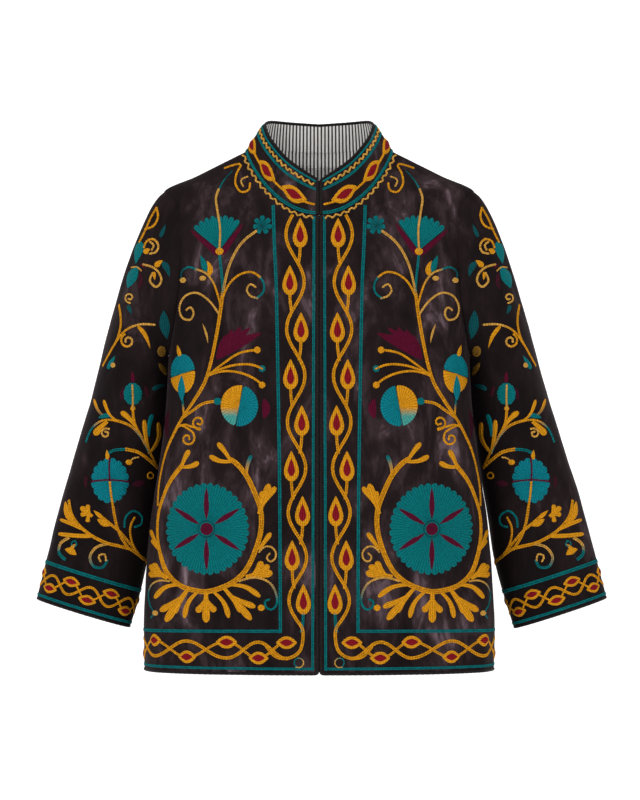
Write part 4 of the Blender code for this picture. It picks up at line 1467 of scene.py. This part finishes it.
# The collar
def collarPiece():
    (frontBearing, frontHeight), (backBearing, backHeight) = (
        neckline(weave["frontNeckColumns"]),
        neckline(weave["backNeckColumns"], True),
    )
    halfBearing = np.concatenate([frontBearing, backBearing[-2::-1]])
    halfHeight = np.concatenate([frontHeight, backHeight[-2::-1]])
    bearing = np.concatenate([-halfBearing, halfBearing[-2::-1]])
    height = np.concatenate([halfHeight, halfHeight[-2::-1]])
    base, baseOut = torsoPoint(bearing, height), outwardAt(bearing, height)
    upward = unit(np.cross(baseOut, np.gradient(base, axis=0)))
    base = base + form["seamGap"] * upward * np.sign(upward[:, 2:3])
    frontTurn = np.linspace(0, 90, weave["frontNeckColumns"] + 1)
    backTurn = 180 - np.linspace(0, 90, weave["backNeckColumns"] + 1)[-2::-1]
    halfTurn = np.concatenate([frontTurn, backTurn])
    turn = np.concatenate([-halfTurn, halfTurn[-2::-1]])
    angle = np.radians(turn)
    side = np.sign(turn) + (turn == 0)
    side[0], side[-1] = -1, 1
    inFront = np.abs(turn) < 90
    edge = form["frontEdge"] * inFront
    x = side * edge + (collarShape["halfWidth"] - edge) * np.sin(angle)
    reach = np.where(inFront, collarShape["front"], collarShape["back"])
    tops = through(collarShape["turns"], collarShape["top"])
    top = np.stack([x, -reach * np.cos(angle), tops(np.abs(turn))], axis=-1)
    rise = np.linspace(0, 1, weave["collarRows"] + 1)[:, None, None]
    points = base * (1 - rise) + top * rise
    normals = unit(np.cross(np.gradient(points, axis=1), np.gradient(points, axis=0)))
    normals *= np.sign((normals * points * [1, 1, 0]).sum(axis=-1, keepdims=True))
    normals[0] = baseOut
    belly = 4 * rise * (1 - rise)
    points = points + collarShape["bulge"] * belly * normals
    swell = crush(points, 21.0) * 0.5
    points = points + swell[..., None] * belly * normals
    walked = walkedAlong(points[len(points) // 2])
    cut = np.stack(np.broadcast_arrays(walked, rise[..., 0] * collarShape["height"]), -1)
    # the lining's stripes stay parallel at the back, so each row has its own measure from there
    rows = walkedAlong(points)
    rows = rows - rows[:, rows.shape[1] // 2][:, None] + backMiddle
    straight = np.stack([rows, cut[..., 1]], -1)
    piece = {"points": points, "normals": normals, "cut": cut + cutStart, "inside": straight}
    # the swells also set the velvet's colour: a painted highlight where they rise, painted shade
    # where they sink
    return {**piece, "nap": swell, "thick": form["cloth"], "length": walked[-1]}


def collarArt(length):
    art = []
    top, level, half = collarShape["height"], 15.5, length / 2
    for height, width in ((top - 2.4, 2.8), (top - 12.4, 3.4), (2.5, 4.2)):
        sewRow(art, [(2, height), (half, height), (length - 2, height)], width, "teal")
    along = np.arange(4, length - 4, zigzag["step"])
    wavy = top - 7.4 + 1.6 * np.sin(along * 2 * math.pi / zigzag["wave"])
    sewZigzag(art, np.stack([along, wavy], -1))
    sewRow(art, [(3, level - 3), (half, level), (length - 3, level - 3)], 3.2, "gold")
    places = [29 + 47.0 * k for k in range(4)]
    for place in places + [length - place for place in places]:
        lensBud(art, (place, level), 36, 17)
    lensBud(art, (half, level), 30, 15)
    return art


collar = collarPiece()
collarCloth = clothMesh("collar_cloth", collar, [velvet, lining])
embroider("collar_stitching", collarCloth, shifted(collarArt(collar["length"]), cutStart), True)
finishCloth(collarCloth, "collar")
upper = slice(weave["collarRows"] // 3, None)
ticking = justInside(collar, ("points", "normals", "inside", "nap"), upper, "collar_lining_cloth")
finishCloth(ticking, "collar_lining")
print("collar sewn")

# The sleeves. "leave" and "arrive" say how far the head runs on straight from the armhole and into
# the arm, under the arm and what is added outside.
sleeveHead = {
    "leave": (2, 28),
    "arrive": (10, 62),
    "start": (0.9, 0.22, 0.1, 0.5),
    "calm": (0.12, 0.04),
    "allowance": (2.5, 1.0),
    "length": 520,
    "capShare": 7 / 19,
}


def armholeLoop():
    height, inset = armhole()
    frontBearing = bearingAt(height, girthTo(height, 90.0) - inset)
    frontBearing[0] = frontBearing[-1] = 90
    backHeight, backInset = armhole(True)
    backBearing = bearingAt(backHeight, girthTo(backHeight, 90.0, True) - backInset, True)
    bearing = np.concatenate([frontBearing, backBearing[-2:0:-1]])
    height = np.concatenate([height, backHeight[-2:0:-1]])
    points, normals = torsoPoint(bearing, height), outwardAt(bearing, height)
    into = unit(np.cross(normals, np.roll(points, -1, axis=0) - np.roll(points, 1, axis=0)))
    into *= np.sign(((points.mean(axis=0) - points) * into).sum(axis=-1, keepdims=True))
    return points + form["seamGap"] * into, normals, into


def bodyEdge(side, name):
    # the sewn body's edge round the armhole, in the order of the loop and as if on the left
    low = weave["sideRows"]
    front = fronts[name]["points"][low:, -1]
    back = backPiece["points"][low:, 0 if side < 0 else -1]
    return np.concatenate([front, back[-2:0:-1]]) * [side, 1, 1]


def armRing(height, turn, swing):
    at = {n: float(f(height)) for n, f in armAt.items()}
    across = at["across"] + math.tan(math.radians(swing)) * (form["armpit"] - at["height"])
    tilt = math.radians(at["tilt"] + swing)
    angle = np.radians(turn)
    wide = at["halfWidth"] * np.cos(angle)
    x = across + wide * math.cos(tilt)
    y = at["back"] - at["halfDepth"] * np.sin(angle)
    return np.stack([x, y, at["height"] + wide * math.sin(tilt)], axis=-1)


def roundApart(turn, other):
    return (turn - other + 180) % 360 - 180


def wrappedFolds(folds, turn, down):
    push = np.zeros(np.broadcast(turn, down).shape)
    for middle, breadth, level, length, lean, depth in folds:
        apart = roundApart(turn, middle + lean * (down - level))
        push += depth * bell(apart, breadth) * bell(down - level, length)
    top, low = sleeveHead["calm"]
    return push * np.clip(down / top, 0, 1) * np.clip((1 - down) / low, 0, 1)


def sleevePiece(name, side, swing):
    loop, loopNormals, into = armholeLoop()
    turn = 180 - 360 * np.arange(len(loop)) / len(loop)
    heights = np.linspace(armRows[0][0], armRows[-1][0], weave["armRows"] + 1)
    rings = [armRing(z, turn, swing) for z in heights]
    angle = np.radians(turn)
    outside = (1 + np.cos(angle)) / 2
    # the head curves from the armhole into the arm's first ring
    out, ahead, up, drop = sleeveHead["start"]
    start = unit(np.stack([out + 0 * angle, -ahead * np.sin(angle), up - drop * outside], axis=-1))
    down = unit(armRing(heights[0] - 25, turn, swing) - rings[0])
    leave, arrive = (
        (sleeveHead[k][0] + sleeveHead[k][1] * outside)[:, None] for k in ("leave", "arrive")
    )
    cap = []
    for t in np.linspace(0, 1, weave["capRows"] + 1)[:-1]:
        cap.append(
            (1 - t) ** 3 * loop
            + 3 * (1 - t) ** 2 * t * (loop + leave * start)
            + 3 * (1 - t) * t**2 * (rings[0] - arrive * down)
            + t**3 * rings[0]
        )
    points = np.array(cap + rings)
    roundIt = np.roll(points, -1, axis=1) - np.roll(points, 1, axis=1)
    normals = unit(np.cross(np.gradient(points, axis=0), roundIt))
    centres = points.mean(axis=1, keepdims=True)
    normals *= np.sign(((points - centres) * normals)[len(cap) + 8].sum(axis=-1).mean())
    # the part's rows are spread evenly over the cap's seven rows and the arm's twelve
    capShare = sleeveHead["capShare"]
    capRows = np.linspace(0, capShare, weave["capRows"] + 1)[:-1]
    share = np.concatenate([capRows, np.linspace(capShare, 1, weave["armRows"] + 1)])[:, None]
    folds = wrappedFolds(sleeveFolds, turn[None, :], share)
    small = wrappedFolds(sleeveCreases, turn[None, :], share)
    swell = crush(points * [side, 1, 1], 31.0 + side)
    calm = np.clip((1 - share) / 0.05, 0.1, 1) * np.clip(share / 0.03, 0.1, 1)
    # drawn in along the seam, but not at the top, where the sleeve head is full
    full = np.clip(2 * np.cos(angle) - 1, 0, 1)
    near = share * sleeveHead["length"] / seam["sleeveReach"]
    dip = -seam["draw"] * np.exp(-(near**2)) * (1 - 2 * full)
    points = points + (folds + (small + swell) * calm + dip)[..., None] * normals
    normals[0] = loopNormals
    ring = np.concatenate([points, points[:, :1]], axis=1)
    fall = np.linalg.norm(np.diff(ring, axis=0), axis=-1)
    v = np.concatenate([np.cumsum(fall[::-1], axis=0)[::-1], np.zeros((1, ring.shape[1]))])
    cut = np.stack([walkedAlong(ring), v], -1) + cutStart
    # painted shade: the sleeve's velvet is darker overall, and darker still on the inner front
    # where it meets the body; fold ridges and swells are painted lighter
    nap = folds * 0.35 + small + swell - 2.0 - 4.0 * bell(roundApart(turn, 150), 50)
    # the seam allowance, tucked into the body's edge
    deep, under = sleeveHead["allowance"]
    tucked = bodyEdge(side, name) - deep * into - under * loopNormals
    return {
        "points": np.concatenate([tucked[None], points]) * [side, 1, 1],
        "normals": np.concatenate([normals[:1], normals]) * [side, 1, 1],
        "cut": np.concatenate([cut[:1] + [0, 2.8], cut]),
        "nap": np.concatenate([nap[:1], nap]),
        "thick": form["cloth"],
    }


def cuffBand(length, buds=12):
    art = band(np.linspace(0, length, buds + 1), 24.5, 8.5, 1, 24, 13, 3.4)
    for level, width in ((46, 4.8), (4, 3.8)):
        sewRow(art, [(1, level), (length / 2, level), (length - 1, level)], width, "teal")
    return art


sleeveArt = sleeveFlowers()
cuffs = {}
for name, side, swing in sleeves:
    piece = sleevePiece(name, side, swing)
    cuffs[name] = piece
    cloth = clothMesh(f"sleeve_{name}_cloth", piece, [velvet, lining], closed=True)
    lookup = lookOnto(piece, True)
    slope = math.tan(math.radians(swing))

    def armMiddle(h, slope=slope):
        height = min(max(form["hem"] + h, armRows[-1][0]), armRows[0][0])
        return float(armAt["across"](height)) + slope * (form["armpit"] - height)

    groups = []
    for behind in (False, True):
        look = seenFrom(lookup, side, behind, armMiddle)

        def at(x, h, look=look, swing=swing):
            # the drawing swings out with the arm, and a little more
            fall = max(0.0, form["armpit"] - (form["hem"] + h))
            return look(x + fall * math.tan(math.radians(swing + sight["sleeveTurn"])), h)

        groups += laid(sleeveArt, at)
    girth = float(piece["cut"][-1, -1, 0] - cutStart[0])
    groups += shifted(cuffBand(girth), cutStart)
    embroider(f"sleeve_{name}_stitching", cloth, groups, side < 0)
    finishCloth(cloth, f"sleeve_{name}")
print("sleeves sewn")

# The piped edges. Plies turn once in two pitches; the cord is fuller where the fronts meet.
piping = {
    "radius": 2.1,
    "pitch": 7.0,
    "around": 10,
    "step": 1.3,
    "depth": 0.13,
    "meeting": 2.5,
    "apart": 2.3,
    "collar": 1.85,
    "cuff": 1.65,
    "cuffSeat": 1.2,
    "near": 4.0,
}
seat = form["cord"] + form["seamGap"]


def edgePath(points, normals, beside, wall=form["cloth"], out=seat):
    # along the middle of the rim and this far out from the row of points beside it
    return points - wall / 2 * normals + out * unit(points - beside)


def roundCorner(first, second, corner):
    return [first, corner + seat * unit((first + second) / 2 - corner), second]


def pipedEdge(name, node, path, closed=False, radius=piping["radius"]):
    # a cord of two plies laid along the edge, just over its rim
    p = np.array(path, float)
    if closed:
        p = np.concatenate([p, p[:1]])
    walked = walkedAlong(p)
    print(name, round(walked[-1]), "mm long")
    places = np.linspace(0, walked[-1], int(walked[-1] / piping["step"]) + 1)
    line = np.stack([np.interp(places, walked, p[:, k]) for k in range(3)], -1)
    if closed:
        line = line[:-1]
        along = unit(np.roll(line, -1, 0) - np.roll(line, 1, 0))
    else:
        for _ in range(3):
            line[1:-1] = (line[:-2] + 2 * line[1:-1] + line[2:]) / 4
        longer = np.concatenate([line[:1] * 2 - line[1:2], line, line[-1:] * 2 - line[-2:-1]])
        along = unit(longer[2:] - longer[:-2])
    across = np.cross(along[0], (0.3, 0.5, 0.8))
    frames = []
    for way in along:
        across = unit(across - way * np.dot(across, way))
        frames.append((across, np.cross(way, across)))
    count, n = len(line), piping["around"]
    total, spin = walked[-1] / piping["pitch"] * math.pi, np.zeros(count)
    if closed:
        # spread the twist that is left where the two ends meet
        (u, v), last = frames[0], frames[-1][0]
        left = math.atan2(np.dot(last, v), np.dot(last, u))
        total = round(walked[-1] / piping["pitch"]) * math.pi
        spin = np.linspace(0, -left, count, endpoint=False)
    # it is fuller and smoother where the two front edges meet
    fuller = bell(np.abs(line[:, 0]) - piping["apart"], piping["near"]) * (line[:, 1] < 0)
    ringAngle = np.linspace(0, 2 * math.pi, n, endpoint=False)
    rings = []
    for i, (centre, (u, v)) in enumerate(zip(line, frames)):
        depth = piping["depth"] * (1 - 0.8 * fuller[i])
        r = radius + (piping["meeting"] - radius) * fuller[i]
        r = r * (1 - depth + depth * np.abs(np.cos(ringAngle - total * i / count)))
        if not closed and i in (0, count - 1):
            r = r * 0.55
        a = ringAngle + spin[i]
        rings.append(centre + r[:, None] * (np.cos(a)[:, None] * u + np.sin(a)[:, None] * v))
    faces = []
    for i in range(count if closed else count - 1):
        low, high = i * n, (i + 1) % count * n
        corners = [(j, (j + 1) % n) for j in range(n)]
        faces += [(low + a, low + b, high + b, high + a) for a, b in corners]
    if not closed:
        faces.append(tuple(reversed(range(n))))
        faces.append(tuple(range((count - 1) * n, count * n)))
    mesh = newMesh(name, np.concatenate(rings), faces, materials=[cordBlack])
    mesh.shade_smooth()
    made = putIn(name, mesh)
    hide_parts(node)
    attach(made, "root")


for name, piece in fronts.items():
    points, normals = piece["points"], piece["normals"]
    upright = edgePath(points[:, 0], normals[:, 0], points[:, 1])
    upright[:, 0] = np.sign(upright[0, 0]) * piping["apart"]
    level = edgePath(points[0], normals[0], points[1])
    corner = points[0, 0] - form["cloth"] / 2 * normals[0, 0]
    path = [*upright[:0:-1], *roundCorner(upright[0], level[0], corner), *level[1:]]
    pipedEdge(f"front_{name}_piping", f"front_binding_{name}", path)
points, normals = backPiece["points"], backPiece["normals"]
pipedEdge("back_hem_piping", "back_hem_binding", edgePath(points[0], normals[0], points[1]))
for name, piece in cuffs.items():
    points, normals = piece["points"], piece["normals"]
    path = edgePath(points[-1], normals[-1], points[-2], out=piping["cuffSeat"])
    pipedEdge(f"cuff_{name}_piping", f"cuff_binding_{name}", path, True, piping["cuff"])
points, normals = collar["points"], collar["normals"]
wall = form["cloth"] + form["seamGap"] + form["lining"]
top = edgePath(points[-1], normals[-1], points[-2], wall)
path = list(top[1:-1])
for last, nearby in ((0, 1), (-1, -2)):
    end = edgePath(points[:, last], normals[:, last], points[:, nearby], wall)
    end[:, 0] = np.sign(end[0, 0]) * piping["apart"]
    corner = points[-1, last] - wall / 2 * normals[-1, last]
    turned = [*end[:-1], *roundCorner(end[-1], top[last], corner)]
    path = [*turned, *path] if last == 0 else [*path, *turned[::-1]]
pipedEdge("collar_piping", "collar_binding", path, radius=piping["collar"])
bpy.data.objects.remove(link)
print("edges piped")

# Camera, light and backdrop, in metres
view = {"place": (0.001, -6.0, -0.310), "angle": 2 * math.atan(0.5 / 6.0)}
sweep = {"floor": -1.6, "front": -9.0, "bend": 7.0, "round": 1.4, "top": 7.0, "half": 9.0}


def camera():
    data = bpy.data.cameras.new("camera")
    data.sensor_fit = "VERTICAL"
    data.angle = view["angle"]
    data.clip_end = 50
    made = putIn("camera", data)
    made.location = view["place"]
    made.rotation_euler = (math.radians(90), 0, 0)
    bpy.context.scene.camera = made


def areaLight(name, place, size, power, aim=(0, 0, -0.32)):
    data = bpy.data.lights.new(name, "AREA")
    data.shape = "RECTANGLE"
    data.size, data.size_y = size
    data.energy = power
    made = putIn(name, data)
    made.location = place
    made.rotation_euler = (Vector(aim) - Vector(place)).to_track_quat("-Z", "Y").to_euler()


def backdrop():
    # a sweep of white paper; the studio's own background lights keep it near white
    material, tree, shader = newMaterial("paperSweep")
    colour = ramp(tree, grain(tree, objectPlace(tree), 3, 2), [(0.3, "#F7F6F5"), (0.7, "#FBFBFA")])
    fill(tree, shader, {"Base Color": colour, "Roughness": 0.95})
    shader.inputs["Emission Color"].default_value = (1, 1, 1, 1)
    shader.inputs["Emission Strength"].default_value = 0.52
    floor, bend, radius = sweep["floor"], sweep["bend"], sweep["round"]
    profile = [(sweep["front"], floor), (bend, floor)]
    for a in np.radians(7.5 * np.arange(1, 13)):
        profile.append((bend + radius * math.sin(a), floor + radius * (1 - math.cos(a))))
    profile.append((bend + radius, sweep["top"]))
    verts = [(x, y, z) for y, z in profile for x in (-sweep["half"], sweep["half"])]
    faces = [(2 * i, 2 * i + 1, 2 * i + 3, 2 * i + 2) for i in range(len(profile) - 1)]
    mesh = newMesh("paperSweep", verts, faces, materials=[material], scale=1.0)
    mesh.shade_smooth()
    putIn("paperSweep", mesh)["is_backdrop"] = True


camera()
backdrop()
areaLight("keySoftbox", (-2.0, -3.2, 1.6), (1.5, 1.5), 58)
areaLight("fillSoftbox", (2.4, -2.9, 0.4), (2.0, 2.0), 26)
areaLight("topSoftbox", (0, -0.4, 2.3), (2.2, 1.4), 26, aim=(0, 0, -0.2))
areaLight("rimLeft", (-2.0, 1.1, 0.7), (0.9, 1.8), 14)
areaLight("rimRight", (2.0, 1.1, 0.7), (0.9, 1.8), 14)
world = bpy.data.worlds.new("studio")
world.use_nodes = True
sky = world.node_tree.nodes["Background"].inputs
sky["Color"].default_value = (1, 1, 1, 1)
sky["Strength"].default_value = 0.42
bpy.context.scene.world = world
bpy.context.scene.view_settings.view_transform = "Standard"

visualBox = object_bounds()
plain = lambda box: [[float(v) for v in corner] for corner in box]
{"cad": plain(cadBox), "visual": plain(visualBox)}
print("ready")
